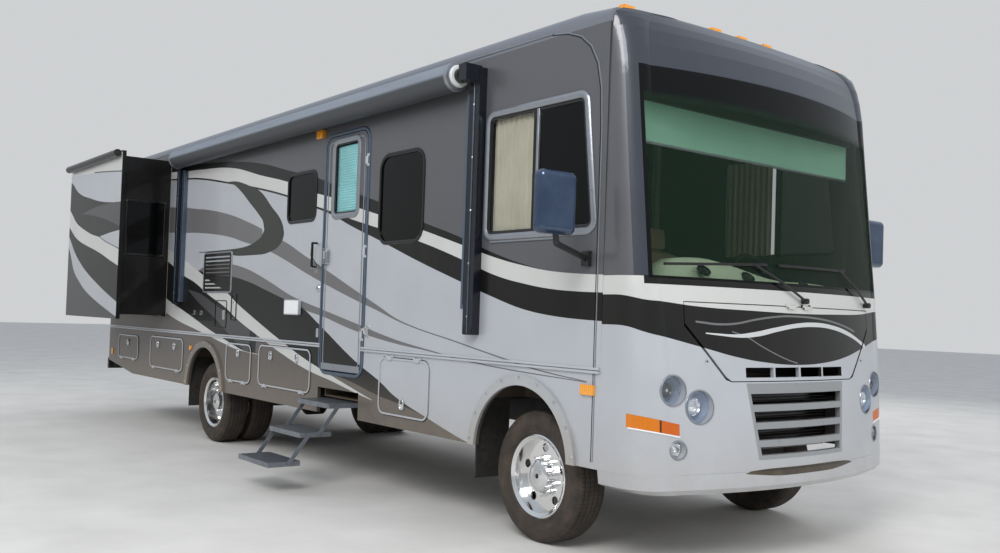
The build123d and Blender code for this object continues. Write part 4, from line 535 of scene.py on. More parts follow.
def glazing(name, colour, cover=None):
    """Tinted pane: its colour covers what is behind by the given share, where one is given."""
    f = Finish(name, colour, IOR=1.52, Specular_IOR_Level=0.22)
    if cover is not None:
        film = f.times(f.spread(f.noise(2.2, 4.0, 0.6), 0.35, 0.8), 0.1)
        f.set("Alpha", f.plus(cover, film, True))
    f.set("Roughness", f.plus(f.times(f.noise(60.0, 3.0), 0.03), 0.03, True))
    return f


def lens(name, colour, cover, ribs, axis):
    """Moulded lamp lens with prisms in its back, paler along their crests as painted glints."""
    f = Finish(name, colour, 0.12, IOR=1.49, Alpha=cover, Coat_Weight=1.0)
    wave = f.wave(f.times((f.x, f.y, f.z)[axis], ribs))
    f.bump(wave, 0.0015, 0.8)
    # Paler colour along the prisms' crests: painted glints.
    f.set("Base Color", f.mix(f.spread(wave, -1.0, 1.0, 0.0, 0.45), colour,
                              toned(colour, 1.6, 0.02)))
    return f.material


def cloth(name, colour, scale=900.0, depth=0.0006, second=None):
    """Woven fabric with a crossed thread pattern, nap and slight fading."""
    f = Finish(name, colour, 0.85)
    f.set("Sheen Weight", 0.35)
    warp = f.wave(f.times(f.plus(f.x, f.y), scale))
    weft = f.wave(f.times(f.z, scale))
    weave = f.times(warp, weft)
    fade = f.noise(5.0, 4.0, 0.6)
    amount = f.plus(f.spread(weave, -1.0, 1.0, 0.0, 0.3), f.spread(fade, 0.35, 0.75, 0.0, 0.4))
    f.set("Base Color", f.mix(amount, colour, second or toned(colour, 0.72)))
    f.bump(weave, depth, 0.5)
    return f.material


def hide(name, colour):
    """Vinyl upholstery with a pebbled grain and creases."""
    f = Finish(name, colour, 0.45)
    cells = f.add("ShaderNodeTexVoronoi")
    f.feed(cells.inputs["Vector"], f.place)
    cells.inputs["Scale"].default_value = 320.0
    wear = f.noise(7.0, 4.0, 0.6)
    f.set("Base Color", f.mix(f.spread(wear, 0.35, 0.75, 0.0, 0.5), colour, toned(colour, 0.7)))
    f.set("Roughness", f.spread(wear, 0.2, 0.8, 0.36, 0.55))
    f.bump(cells.outputs["Distance"], 0.0006, 0.7)
    return f.material


# Tyre: its tone, radius where the tread starts, pitch of its grooves, where the duals part
TYRE_TONE = shade(44, 39, 35)
TREAD_LOW = 0.405
GROOVE_PITCH = 82.0
BETWEEN_DUALS = 0.9375
DUAL_GAP = 0.285


def tyre_rubber():
    """Tyre: circumferential grooves and cross sipes darkened as painted shade, ribbed sidewall
    rings and dust.
    """
    f = Finish("tyre_rubber_tread", TYRE_TONE, 0.78)
    reach = f.size(f.x)
    front = f.under(f.y, -1.0)
    across = f.minus(f.y, f.spread(front, 0.0, 1.0, REAR_AXLE_Y, FRONT_AXLE_Y))
    up = f.minus(f.z, AXLE_Z)
    radius = f.calc("SQRT", f.plus(f.times(across, across), f.times(up, up)))
    turn = f.calc("ARCTAN2", up, across)
    middle = f.minus(DUAL_OUTER_X, f.times(f.under(reach, BETWEEN_DUALS), DUAL_GAP))
    middle = f.plus(middle, f.times(front, FRONT_WHEEL_X - DUAL_OUTER_X))
    off = f.minus(reach, middle)
    groove = f.under(f.size(f.wave(f.times(off, GROOVE_PITCH))), 0.22)
    zig = f.plus(f.times(turn, 96.0), f.times(f.wave(f.times(off, 165.0)), 0.9))
    sipe = f.over(f.wave(zig), 0.86)
    cut = f.times(f.most(groove, f.times(sipe, 0.6)), f.over(radius, TREAD_LOW))
    bands = [f.under(f.size(f.minus(radius, middle_r)), half) for middle_r,
             half in ((0.383, 0.009), (0.29, 0.012))]
    ribs = f.times(f.times(f.wave(f.times(radius, 520.0)), 0.25), f.most(*bands))
    f.bump(f.plus(f.minus(1.0, cut), ribs), 0.006, 0.9)
    colour = f.mix(f.spread(f.noise(9.0, 6.0, 0.7), 0.35, 0.8, 0.0, 0.6), TYRE_TONE,
                   shade(97, 82, 68))
    # Grooves and sipes are darkened to near black: painted shade in the cuts.
    f.set("Base Color", f.mix(cut, colour, shade(13, 12, 11)))
    return f.material


def tread_plate():
    """Galvanised step with punched grip holes in rows, painted near black as shade in the holes."""
    f = Finish("step_tread_metal", rough=0.42, Metallic=0.6)
    top = f.over(f.turned.outputs[2], 0.9)
    holes = f.times(f.wave(f.times(f.x, 140.0)), f.wave(f.times(f.y, 140.0)))
    dots = f.times(f.over(holes, 0.55), top)
    wear = f.noise(12.0, 5.0, 0.65)
    colour = f.mix(f.spread(wear, 0.4, 0.75, 0.0, 0.6), shade(132, 137, 144), shade(92, 92, 92))
    colour = f.mix(f.times(top, 0.45), colour, shade(70, 72, 76))
    # The grip holes are near black: painted shade in them.
    f.set("Base Color", f.mix(f.times(dots, 0.75), colour, shade(30, 31, 33)))
    f.bump(f.minus(0.0, dots), 0.002, 0.8)
    return f.material


def roof_skin():
    """Chalky white roof membrane between grey painted edges, with soot washed to the gutters."""
    f = Finish("roof_membrane")
    soot = f.plus(f.times(f.noise(6.0, 6.0, 0.7), 0.35), 0.05)
    colour = f.mix(f.spread(soot, 0.12, 0.6, 0.0, 0.6), shade(228, 227, 221), shade(142, 139, 132))
    edge = f.most(f.over(f.size(f.x), 1.205), f.under(f.y, -4.3))
    colour = f.mix(edge, colour, shade(104, 108, 116))
    # The underside takes the dark lining: painted shade.
    f.set("Base Color", f.mix(f.under(f.turned.outputs[2], -0.5), colour, CAB_LINING_SHADE))
    f.set("Roughness", f.spread(edge, 0.0, 1.0, 0.62, 0.28))
    f.bump(f.noise(120.0, 3.0), 0.001, 0.35)
    return f.material


# Front and rear end of the cab windows' sliding sash
SASH = (-3.83, -3.2)


def window_panes():
    """Side glazing: deep tint in the saloon, half open behind the cab's curtain."""
    f = glazing("side_pane_tint", shade(8, 9, 9))
    ahead = f.under(f.y, SASH[0])
    sash = f.times(f.under(f.y, SASH[1]), f.over(f.y, SASH[0]))
    f.set("Alpha", f.minus(f.minus(0.95, f.times(sash, 0.82)), f.times(ahead, 0.12)))
    return f.material


def windscreen_pane():
    """Laminated screen: green cast, black printed edge and a dark band along its top."""
    f = glazing("windscreen_tint", shade(20, 34, 28))
    border = f.most(f.over(f.size(f.x), 1.148), f.under(f.z, 1.692))
    border = f.most(border, f.over(f.z, 2.905))
    band = f.spread(f.z, 2.715, 2.775)
    f.set("Alpha", f.most(border, f.plus(0.22, f.times(band, 0.74))))
    f.set("Base Color", f.mix(f.most(border, band), shade(34, 54, 40), shade(7, 8, 9)))
    return f.material


# Tone of the clear covers, and where the two halves of a turn lamp part
LAMP_COVER = shade(220, 226, 230)
TURN_SPLIT = 1.125


def lamp_lenses():
    """Clear covers of the round lamps and the ribbed amber of the turn lamps."""
    f = Finish("front_lamp_lens", rough=0.05, IOR=1.49, Specular_IOR_Level=0.3, Coat_Weight=0.6)
    reach = f.size(f.x)
    turn = f.times(f.over(reach, 0.985), f.within(0.775, 0.915))
    wave = f.wave(f.times(f.x, 1250.0))
    dull = f.mix(f.over(reach, TURN_SPLIT), shade(196, 84, 10), shade(206, 112, 14))
    # The amber is paler along the ribs' crests: painted glints.
    amber = f.mix(f.spread(wave, -1.0, 1.0, 0.0, 0.35), dull, shade(226, 140, 34))
    amber = f.mix(f.under(f.size(f.minus(reach, TURN_SPLIT)), 0.006), amber, shade(96, 40, 6))
    f.set("Base Color", f.mix(turn, LAMP_COVER, amber))
    f.set("Alpha", f.spread(turn, 0.0, 1.0, 0.1, 0.97))
    f.bump(f.times(wave, turn), 0.001, 0.6)
    return f.material


def awning_parts():
    """Grey vinyl roll, darker on its lower half as painted shade, with dark enamelled arms and
    brackets at both ends.
    """
    f = Finish("awning_roll_and_arms")
    ends = f.most(f.under(f.y, -3.1215), f.over(f.y, 2.2815))
    streak = f.noise(5.0, 5.0, 0.65, (1.0, 0.05, 1.0))
    vinyl = f.mix(f.spread(streak, 0.35, 0.75), shade(128, 136, 146), shade(98, 106, 117))
    # The roll's lower half is darkened towards grey-black: painted shade on its underside.
    vinyl = f.mix(f.spread(f.z, 3.075, 3.055), vinyl, shade(62, 64, 68))
    enamel = f.mix(f.spread(f.noise(16.0, 4.0), 0.4, 0.8, 0.0, 0.4), shade(16, 19, 26),
                   shade(38, 44, 54))
    f.set("Base Color", f.mix(ends, vinyl, enamel))
    f.set("Roughness", f.spread(ends, 0.0, 1.0, 0.46, 0.25))
    f.bump(f.noise(140.0, 3.0), 0.0005, 0.4)
    return f.material


def mirror_parts():
    """Blue-grey lacquered heads on black arms."""
    f = Finish("mirror_head_and_arm")
    head = f.over(f.z, 1.897)
    shell = f.mix(f.spread(f.noise(6.0, 3.0), 0.35, 0.7), shade(40, 58, 84), shade(58, 76, 102))
    f.set("Base Color", f.mix(head, shade(30, 30, 31), shell))
    f.set("Roughness", f.spread(head, 0.0, 1.0, 0.5, 0.16))
    f.set("Metallic", f.times(head, 0.35))
    f.set("Coat Weight", f.times(head, 0.5))
    f.bump(f.noise(300.0, 2.0), 0.0003, 0.5)
    return f.material


def dash_parts():
    """Pale padded dash, with the column and steering wheel in black."""
    f = Finish("dash_pad_and_wheel", rough=0.6)
    wheel = f.times(f.over(f.y, -4.41), f.over(f.z, f.minus(-2.78, f.times(f.y, 1.05))))
    patch = f.spread(f.noise(14.0, 5.0, 0.65), 0.4, 0.75, 0.0, 0.5)
    pad = f.mix(patch, shade(186, 206, 172), shade(164, 182, 150))
    f.set("Base Color", f.mix(wheel, pad, shade(26, 26, 27)))
    f.bump(f.noise(700.0, 2.0), 0.0008, 0.6)
    return f.material


def flare_trim():
    """Wheel arch trim: silver at the front, smoke at the rear, with dusty lower ends."""
    f = Finish("arch_trim_paint")
    colour = f.mix(f.under(f.y, -1.2), shade(118, 112, 106), shade(170, 172, 174))
    return coat(f, colour, 0.9, 0.15)


FINISHES = {
    "side": side_paint(),
    "slide_curb": slide_paint("slide_curb_paint", 1.855, slide_colours),
    "slide_road": slide_paint("slide_road_paint", 1.895, side_colours),
    "nose": nose_paint(),
    "tail": tail_paint(),
    "flare": flare_trim(),
    "frame": plastic("chassis_enamel", shade(26, 26, 27), 0.45, 0.0006, 120.0, 0.5),
    "iron": plastic("cast_iron_dusty", shade(46, 43, 40), 0.6, 0.0012, 90.0, 0.6, 0.4),
    "pipe": bright("aluminised_pipe", shade(128, 124, 118), 0.38, 0.85),
    "board": plastic("floor_board_ply", shade(82, 70, 58), 0.7, 0.0005, 60.0, 0.5),
    "rubber": rubber("black_rubber_seal"),
    "black": plastic("black_satin_plastic", shade(24, 24, 25), 0.42, 0.0003, 500.0, 0.2),
    "gloss": plastic("black_gloss_trim", shade(12, 12, 13), 0.16, 0.0001, 300.0, 0.1),
    "roof": roof_skin(),
    "screen": windscreen_pane(),
    "panes": window_panes(),
    "grille": plastic("grille_silver_paint", shade(158, 160, 162), 0.3, 0.0001, 400.0, 0.05, 0.5),
    "lamp_clear": lamp_lenses(),
    "door_pane": glazing("door_pane_tint", shade(20, 40, 40), 0.1).material,
    "lamp_red": lens("red_lamp_lens", shade(150, 14, 12), 0.92, 420.0, 2),
    "lamp_amber": lens("amber_lamp_lens", shade(244, 150, 14), 0.95, 380.0, 1),
    "awning": awning_parts(),
    "shroud": plastic("roof_unit_shell", shade(216, 214, 206), 0.5, 0.0005, 200.0, 0.35),
    "mirror_shell": mirror_parts(),
    "dash": dash_parts(),
    "seat": hide("cab_seat_vinyl", shade(150, 132, 108)),
    "step": tread_plate(),
    "link": plastic("step_bracket_enamel", shade(112, 117, 124), 0.42, 0.0005, 150.0, 0.5, 0.5),
    "wheel": bright("wheel_liner_chrome", (0.8, 0.8, 0.79, 1.0), 0.1),
    "tyre": tyre_rubber(),
    "chrome": bright("bright_chrome"),
    "steel": bright("brushed_steel", (0.56, 0.57, 0.58, 1.0), 0.3, 1.0, True),
    "alloy": plastic("anodised_trim", shade(150, 154, 160), 0.3, 0.0002, 300.0, 0.15, 0.7),
    "arm": plastic("awning_arm_enamel", shade(78, 90, 106), 0.3, 0.0002, 300.0, 0.2, 0.35),
    "white": plastic("white_moulded_cap", shade(222, 223, 222), 0.4, 0.0003, 300.0, 0.25),
    "curtain": cloth("cab_curtain_linen", shade(206, 203, 182), 700.0, 0.0006,
                     shade(172, 168, 148)),
    "blind": cloth("pleated_blind_cloth", shade(62, 58, 50), 900.0, 0.0004),
    "shade": cloth("door_shade_cloth", shade(166, 236, 238), 900.0, 0.0003, shade(140, 214, 218)),
    "visor": cloth("screen_visor_cloth", shade(150, 206, 176), 900.0, 0.0003, shade(134, 190, 162)),
    "bowl": plastic("lamp_bowl_silver", shade(158, 172, 196), 0.3, 0.0002, 400.0, 0.1, 0.5),
    "reflector": bright("lamp_reflector", (0.85, 0.86, 0.88, 1.0), 0.08),
    "mirror": bright("mirror_glass", (0.82, 0.84, 0.86, 1.0), 0.02),
}

NODE_FINISH = {
    "side": ("right_wall", "left_wall", "side_skirts", "entry_door", "bay_door_a", "bay_door_b",
             "bay_door_c", "bay_door_d", "bay_door_e", "bay_door_f", "bay_door_g"),
    "slide_curb": ("slide_room_curb",), "slide_road": ("slide_room_road",),
    "nose": ("front_cap", "hood_lid",
             "front_bumper"), "tail": ("rear_cap",), "flare": ("wheel_flares",),
    "frame": ("chassis_rails", "crossmembers", "axles", "fuel_tank", "drive_shaft", "knuckle_right",
              "knuckle_left"),
    "iron": ("engine_block",), "pipe": ("exhaust_pipe",), "board": ("floor_deck",),
    "rubber": ("mud_flaps",), "black": ("storage_tubs", "rear_bumper",
                                        "wipers"), "roof": ("roof_shell",),
    "screen": ("windshield",), "panes": ("window_glass", "slide_glass_curb", "slide_glass_road"),
    "door_pane": ("entry_door_glass",),
    "grille": ("grille",), "lamp_clear": ("headlamps",), "lamp_red": ("tail_lamps",),
    "lamp_amber": ("marker_lamps",), "awning": ("awning",), "shroud": ("roof_units",),
    "mirror_shell": ("mirrors",), "dash": ("dashboard",),
    "seat": ("cab_seats",), "step": ("step_upper", "step_middle", "step_lower"),
    "link": ("step_links_upper", "step_links_lower"),
    "wheel": ("front_rim_right", "front_rim_left", "rear_rims_right", "rear_rims_left"),
    "tyre": ("front_tyre_right", "front_tyre_left", "rear_tyres_right", "rear_tyres_left"),
}
for finish, names in NODE_FINISH.items():
    for name in names:
        for place in NODES[name].material_slots:
            place.material = FINISHES[finish]


def corners_of(u0, u1, v0, v1):
    return ((u0, v0), (u1, v0), (u1, v1), (u0, v1))


def around(count, shift=0.0):
    """Angles of a full turn in even steps."""
    return [2 * math.pi * (k + shift) / count for k in range(count)]


def rounded(corners, radius, grow=0.0, steps=5):
    """Points round a convex shape with rounded corners, moved outwards by grow."""
    points = []
    count = len(corners)
    for i in range(count):
        here = Vector(corners[i])
        back = (here - Vector(corners[i - 1])).normalized()
        ahead = (Vector(corners[(i + 1) % count]) - here).normalized()
        turn = back.angle(ahead)
        side = (ahead - back).normalized()
        centre = here + side * (radius / math.cos(turn / 2))
        start = math.atan2(-back.x, back.y)
        for k in range(steps + 1):
            angle = start + turn * k / steps
            points.append((centre.x + (radius + grow) * math.cos(angle),
                           centre.y + (radius + grow) * math.sin(angle)))
    return points


def facing(which, level):
    """Turns (along, up, out) on one face of the vehicle into a place."""
    return {
        "curb": lambda u, v, w: (-level - w, u, v),
        "road": lambda u, v, w: (level + w, u, v),
        "fore": lambda u, v, w: (u, level - w, v),
        "aft": lambda u, v, w: (u, level + w, v),
    }[which]


class Piece:
    """Mesh of one added piece, gathered from closed forms, each with its finish."""

    def __init__(self, name, body="vehicle"):
        self.name = name
        self.body = body
        self.mesh = bmesh.new()
        self.used = []

    def skin(self, finish, rings, loop=False):
        """Surface over rings of equal count; closed by its ends, or joined to itself as a loop."""
        if finish not in self.used:
            self.used.append(finish)
        index = self.used.index(finish)
        made = [[self.mesh.verts.new(p) for p in ring] for ring in rings]
        pairs = list(zip(made, made[1:]))
        if loop:
            pairs.append((made[-1], made[0]))
        faces = []
        for a, b in pairs:
            for i in range(len(a)):
                j = (i + 1) % len(a)
                faces.append(self.mesh.faces.new((a[i], a[j], b[j], b[i])))
        if not loop:
            faces += [self.mesh.faces.new(made[0]), self.mesh.faces.new(made[-1])]
        for face in faces:
            face.material_index = index

    def frame(self, finish, place, corners, radius, profile):
        """Moulding round a rounded shape; profile gives (grow, out) pairs round its section."""
        self.skin(finish, [[place(u, v, w) for u, v in rounded(corners, radius, grow)] for grow,
                           w in profile], True)

    def plate(self, finish, place, corners, radius, low, high, edge=0.002):
        """Flat plate with rounded corners and an eased outer edge."""
        levels = ((0.0, low), (0.0, high - edge), (-edge, high))
        self.skin(finish, [[place(u, v, w) for u, v in rounded(corners, radius, grow)] for grow,
                           w in levels])

    def plates(self, place, rows):
        """Plates of a table: finish, ends along, ends up, corner radius, low, high, and an edge."""
        for finish, u0, u1, v0, v1, *rest in rows:
            self.plate(finish, place, corners_of(u0, u1, v0, v1), *rest)

    def block(self, finish, x0, x1, y0, y1, z0, z1, edge=0.006):
        """Box with all its edges eased."""
        rings = []
        for inset, z in ((edge, z0), (0.0, z0 + edge), (0.0, z1 - edge), (edge, z1)):
            corners = corners_of(x0 + inset, x1 - inset, y0 + inset, y1 - inset)
            rings.append([(u, v, z) for u, v in rounded(corners, edge, 0.0, 2)])
        self.skin(finish, rings)

    def turned(self, finish, profile, centre, axis=(1, 0, 0), count=24):
        """Turned form; profile gives (along the axis, radius) pairs from end to end."""
        axis = Vector(axis).normalized()
        first = axis.orthogonal().normalized()
        second = axis.cross(first)
        spokes = [first * math.cos(t) + second * math.sin(t) for t in around(count)]
        self.skin(finish, [[Vector(centre) + axis * along + spoke * radius for spoke in spokes]
                           for along, radius in profile])

    def rod(self, finish, points, radius, count=8):
        """Rod along a line of points."""
        points = [Vector(p) for p in points]
        side = (points[1] - points[0]).normalized().orthogonal().normalized()
        rings = []
        for i, p in enumerate(points):
            ahead = (points[min(i + 1, len(points) - 1)] - points[max(i - 1, 0)]).normalized()
            side = (side - ahead * side.dot(ahead)).normalized()
            other = ahead.cross(side)
            rings.append([p + side * radius * math.cos(t) + other * radius * math.sin(t)
                          for t in around(count)])
        self.skin(finish, rings)

    def done(self):
        bmesh.ops.recalc_face_normals(self.mesh, faces=self.mesh.faces)
        return finished(self.name, self.body, self.mesh, [FINISHES[f] for f in self.used])


def linked(name, data):
    """New object of the data, linked to the scene."""
    obj = bpy.data.objects.new(name, data)
    bpy.context.scene.collection.objects.link(obj)
    return obj


def finished(name, body, mesh, materials, sharp=0.6):
    """Object of a gathered mesh, shaded smooth between its sharp edges, riding its body."""
    for face in mesh.faces:
        face.smooth = True
    for edge in mesh.edges:
        edge.smooth = edge.calc_face_angle(0.0) < sharp
    data = bpy.data.meshes.new(name)
    mesh.to_mesh(data)
    mesh.free()
    for material in materials:
        data.materials.append(material)
    obj = linked(name, data)
    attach(obj, body)
    return obj


# Tiers of a stud as shares of its size: width below, width above, height, start
STUD_TIERS = ((1.3, 1.3, 0.12, 0.0), (1.0, 1.0, 0.58, 0.12), (1.0, 0.55, 0.3, 0.7))


def repeat_tree(name, form):
    """Node group that sets one small form on each point of a mesh: a capped stud or a thin slat."""
    tree = bpy.data.node_groups.new(name, "GeometryNodeTree")
    tree.interface.new_socket("Points", in_out="INPUT", socket_type="NodeSocketGeometry")
    for label, kind in (("Width", "Float"), ("Height", "Float"), ("Length", "Float"),
                        ("Sides", "Int"), ("Axis", "Vector"), ("Tilt", "Float"),
                        ("Unevenness", "Float"), ("Seed", "Int"), ("Finish", "Material")):
        tree.interface.new_socket(label, in_out="INPUT", socket_type="NodeSocket" + kind)
    tree.interface.new_socket("Repeats", in_out="OUTPUT", socket_type="NodeSocketGeometry")
    given = tree.nodes.new("NodeGroupInput").outputs

    def made(kind, feeds, **settings):
        """New node with its settings; feeds gives each input its link or value."""
        node = tree.nodes.new(kind)
        for key, value in settings.items():
            setattr(node, key, value)
        for key, value in feeds.items():
            if isinstance(value, bpy.types.NodeSocket):
                tree.links.new(value, node.inputs[key])
            else:
                node.inputs[key].default_value = value
        return node

    def scaled(label, share):
        return made("ShaderNodeMath", {0: given[label], 1: share}, operation="MULTIPLY").outputs[0]

    def moved(part, key, vector):
        geometry = {"Geometry": part.outputs["Mesh"], key: vector.outputs[0]}
        tree.links.new(made("GeometryNodeTransform", geometry).outputs[0], joined.inputs[0])

    joined = made("GeometryNodeJoinGeometry", {})
    if form == "stud":
        for low, high, tall, start in STUD_TIERS:
            part = made("GeometryNodeMeshCone", {
                "Vertices": given["Sides"], "Radius Bottom": scaled("Width", low * 0.5),
                "Radius Top": scaled("Width", high * 0.5), "Depth": scaled("Height", tall)})
            moved(part, "Translation", made("ShaderNodeCombineXYZ", {"Z": scaled("Height", start)}))
        main, spin_axis = "Z", (0, 0, 1)
    else:
        size = made("ShaderNodeCombineXYZ", {"X": given["Length"], "Y": given["Width"],
                                             "Z": given["Height"]})
        part = made("GeometryNodeMeshCube", {"Size": size.outputs[0]})
        moved(part, "Rotation", made("ShaderNodeCombineXYZ", {"X": given["Tilt"]}))
        main, spin_axis = "X", (1, 0, 0)
    align = made("FunctionNodeAlignRotationToVector", {"Vector": given["Axis"]}, axis=main)
    chance = made("FunctionNodeRandomValue", {"Seed": given["Seed"]}, data_type="FLOAT")
    ends = {s.name: s for s in chance.inputs if s.type == "VALUE" and s.name in ("Min", "Max")}
    tree.links.new(scaled("Unevenness", -1.0), ends["Min"])
    tree.links.new(given["Unevenness"], ends["Max"])
    value = [s for s in chance.outputs if s.type == "VALUE"][0]
    spin = made("FunctionNodeAxisAngleToRotation", {"Axis": spin_axis, "Angle": value})
    turn = made("FunctionNodeRotateRotation", {0: align.outputs[0], 1: spin.outputs[0]},
                rotation_space="LOCAL")
    spread = made("GeometryNodeInstanceOnPoints", {"Points": given["Points"],
                                                   "Instance": joined.outputs[0],
                                                   "Rotation": turn.outputs[0]})
    real = made("GeometryNodeRealizeInstances", {0: spread.outputs[0]})
    paint = made("GeometryNodeSetMaterial", {"Geometry": real.outputs[0],
                                             "Material": given["Finish"]})
    made("NodeGroupOutput", {0: paint.outputs[0]})
    return tree


REPEATS = {"stud": repeat_tree("studs_on_points", "stud"),
           "slat": repeat_tree("slats_on_points", "slat")}
REPEAT_USUAL = {"Width": 0.01, "Height": 0.006, "Length": 0.1, "Sides": 6, "Axis": (-1.0, 0.0, 0.0),
                "Tilt": 0.0, "Unevenness": 0.3, "Seed": 7}


def repeated(name, form, points, finish, body="vehicle", **values):
    """The form on every point, grown by its node group and kept as a plain mesh."""
    data = bpy.data.meshes.new(name)
    data.from_pydata([tuple(p) for p in points], [], [])
    obj = linked(name, data)
    grower = obj.modifiers.new("repeat", "NODES")
    tree = REPEATS[form]
    grower.node_group = tree
    given = {**REPEAT_USUAL, "Finish": FINISHES[finish], **values}
    for item in tree.interface.items_tree:
        if item.item_type == "SOCKET" and item.in_out == "INPUT" and item.name in given:
            grower[item.identifier] = given[item.name]
    bpy.context.view_layer.update()
    graph = bpy.context.evaluated_depsgraph_get()
    whole = bpy.data.meshes.new_from_object(obj.evaluated_get(graph))
    whole.name = name
    obj.modifiers.clear()
    obj.data = whole
    bpy.data.meshes.remove(data)
    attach(obj, body)


COCKPIT = ((-4.38, 1.97), (-3.355, 1.97), (-3.355, 2.765), (-4.285, 2.765))
DOOR_GLASS = corners_of(-1.6045, -1.2095, 2.235, 2.845)

# Sections of mouldings, as (outwards in the wall's plane, out of the wall) pairs
SLIM = ((-0.01, -0.012), (-0.01, 0.003), (-0.002, 0.007), (0.012, 0.007), (0.018, 0.003),
        (0.018, -0.001), (0.002, -0.001))
WIDE = ((-0.004, -0.006), (-0.004, 0.006), (0.004, 0.013), (0.018, 0.016), (0.032, 0.013),
        (0.04, 0.005), (0.04, -0.001), (0.002, -0.001))
SEAL = ((-0.024, -0.008), (-0.024, -0.002), (-0.012, 0.005), (-0.003, 0.005), (-0.003, -0.008))

# Windows: name, body, face, level of the wall, corners, corner radius
WINDOWS = (
    ("cockpit_trim_curb", "vehicle", "curb", HALF_WIDTH, COCKPIT, 0.045),
    ("cockpit_trim_road", "vehicle", "road", HALF_WIDTH, COCKPIT, 0.045),
    ("saloon_trim_curb", "vehicle", "curb", HALF_WIDTH, corners_of(-2.57, -1.96, 1.97, 2.65), 0.11),
    ("galley_trim_curb", "vehicle", "curb", HALF_WIDTH, corners_of(-0.88, -0.34, 2.22, 2.65), 0.07),
    ("bath_trim_road", "vehicle", "road", HALF_WIDTH, corners_of(1.3, 1.8, 2.22, 2.65), 0.07),
    ("bed_trim_road", "vehicle", "road", HALF_WIDTH, corners_of(2.7, 3.6, 1.97, 2.65), 0.11),
    ("rear_window_trim", "vehicle", "aft", TAIL_Y, corners_of(-0.55, 0.55, 2.07, 2.59), 0.09),
    ("slide_road_trim", "slide_road", "road", 1.895, corners_of(-1.9008, -0.1008, 1.95, 2.65),
     0.11),
    ("slide_curb_trim", "slide_curb", "fore", 2.775, corners_of(-1.76, -1.33, 2.0, 2.61), 0.012),
)
SASH_BARS = (("gloss", -3.845, -3.812, 1.975, 2.76, 0.004, -0.01, 0.002),
             ("alloy", -3.868, -3.847, 1.98, 2.755, 0.003, -0.01, 0.006),
             ("gloss", -3.83, -3.39, 1.976, 1.994, 0.003, -0.008, -0.001),
             ("alloy", -4.05, -3.4, 1.915, 1.928, 0.003, -0.001, 0.01))
SLAT_PITCH = 0.024


def make_window_trims():
    """Mouldings and seals round the windows, with the sliding sashes' bars."""
    for name, body, face, level, corners, radius in WINDOWS:
        place = facing(face, level)
        piece = Piece(name, body)
        if corners is COCKPIT:
            piece.frame("alloy", place, corners, radius, WIDE)
            piece.frame("gloss", place, corners, radius, SEAL)
            piece.plates(place, SASH_BARS)
        else:
            piece.frame("gloss", place, corners, radius, SLIM)
        piece.done()


def make_blinds():
    """Slatted blinds behind the saloon and sleeping windows."""
    for name, body, face, level, corners, _ in WINDOWS:
        if corners is COCKPIT:
            continue
        place = facing(face, level)
        (left, bottom), (right, top) = corners[0], corners[2]
        low, high = bottom + 0.03, top - 0.02
        middle = (left + right) / 2
        count = int((high - low) / SLAT_PITCH)
        points = [place(middle, low + SLAT_PITCH * k, -0.045) for k in range(count)]
        axis = (1.0, 0.0, 0.0) if face in ("fore", "aft") else (0.0, 1.0, 0.0)
        repeated(name.replace("trim", "blind"), "slat", points, "blind", body,
                 Length=right - left - 0.03, Width=0.025, Height=0.001, Axis=axis, Tilt=0.95,
                 Unevenness=0.03)


def pleated(name, body, place, run, other, depth, pitch, finish, upright=True):
    """Single layer of cloth in even folds."""
    start, end = run
    steps = max(8, int(abs(end - start) / pitch) * 6)
    line = []
    for i in range(steps + 1):
        at = start + (end - start) * i / steps
        fold = math.sin(2 * math.pi * (at - start) / pitch)
        line.append((at, depth * fold * (0.8 + 0.2 * math.sin(at * 31.0))))
    tall = other[1] - other[0]
    mesh = bmesh.new()
    rows = []
    for k in range(9):
        over = other[0] + tall * k / 8
        rows.append([mesh.verts.new(place(*((at, over) if upright else (over, at)), out)) for at,
                     out in line])
    for a, b in zip(rows, rows[1:]):
        for i in range(len(a) - 1):
            mesh.faces.new((a[i], a[i + 1], b[i + 1], b[i]))
    mesh.normal_update()
    outward = Vector(place(0, 0, 1)) - Vector(place(0, 0, 0))
    if sum(f.normal.dot(outward) for f in mesh.faces) < 0:
        bmesh.ops.reverse_faces(mesh, faces=mesh.faces)
    obj = finished(name, body, mesh, [FINISHES[finish]], 3.2)


def make_soft_shades():
    """Cab curtains, the entry door's shade and the windscreen's sun shade."""
    for side, wall in (("curb", "right_wall"), ("road", "left_wall")):
        pleated("cab_curtain_" + side, "vehicle", facing(side, 1.238), (-3.8, -3.365),
                (1.985, 2.752), 0.01, 0.055, "curtain")
    pleated("entry_door_shade", "door", facing("curb", 1.252), (2.245, 2.815), (-1.594, -1.222),
            0.0035, 0.022, "shade", False)
    pleated("windscreen_sun_shade", "vehicle", facing("fore", -4.54), (2.5, 2.74), (-1.09, 1.09),
            0.0012, 0.24, "visor", False)
    rail = Piece("sun_shade_rail")
    rail.block("black", -1.1, 1.1, -4.555, -4.525, 2.74, 2.79, 0.006)
    rail.block("alloy", -1.09, 1.09, -4.546, -4.534, 2.486, 2.502, 0.003)
    rail.block("black", -1.16, 1.16, -4.53, -4.5, 2.77, 2.95, 0.01)
    rail.done()


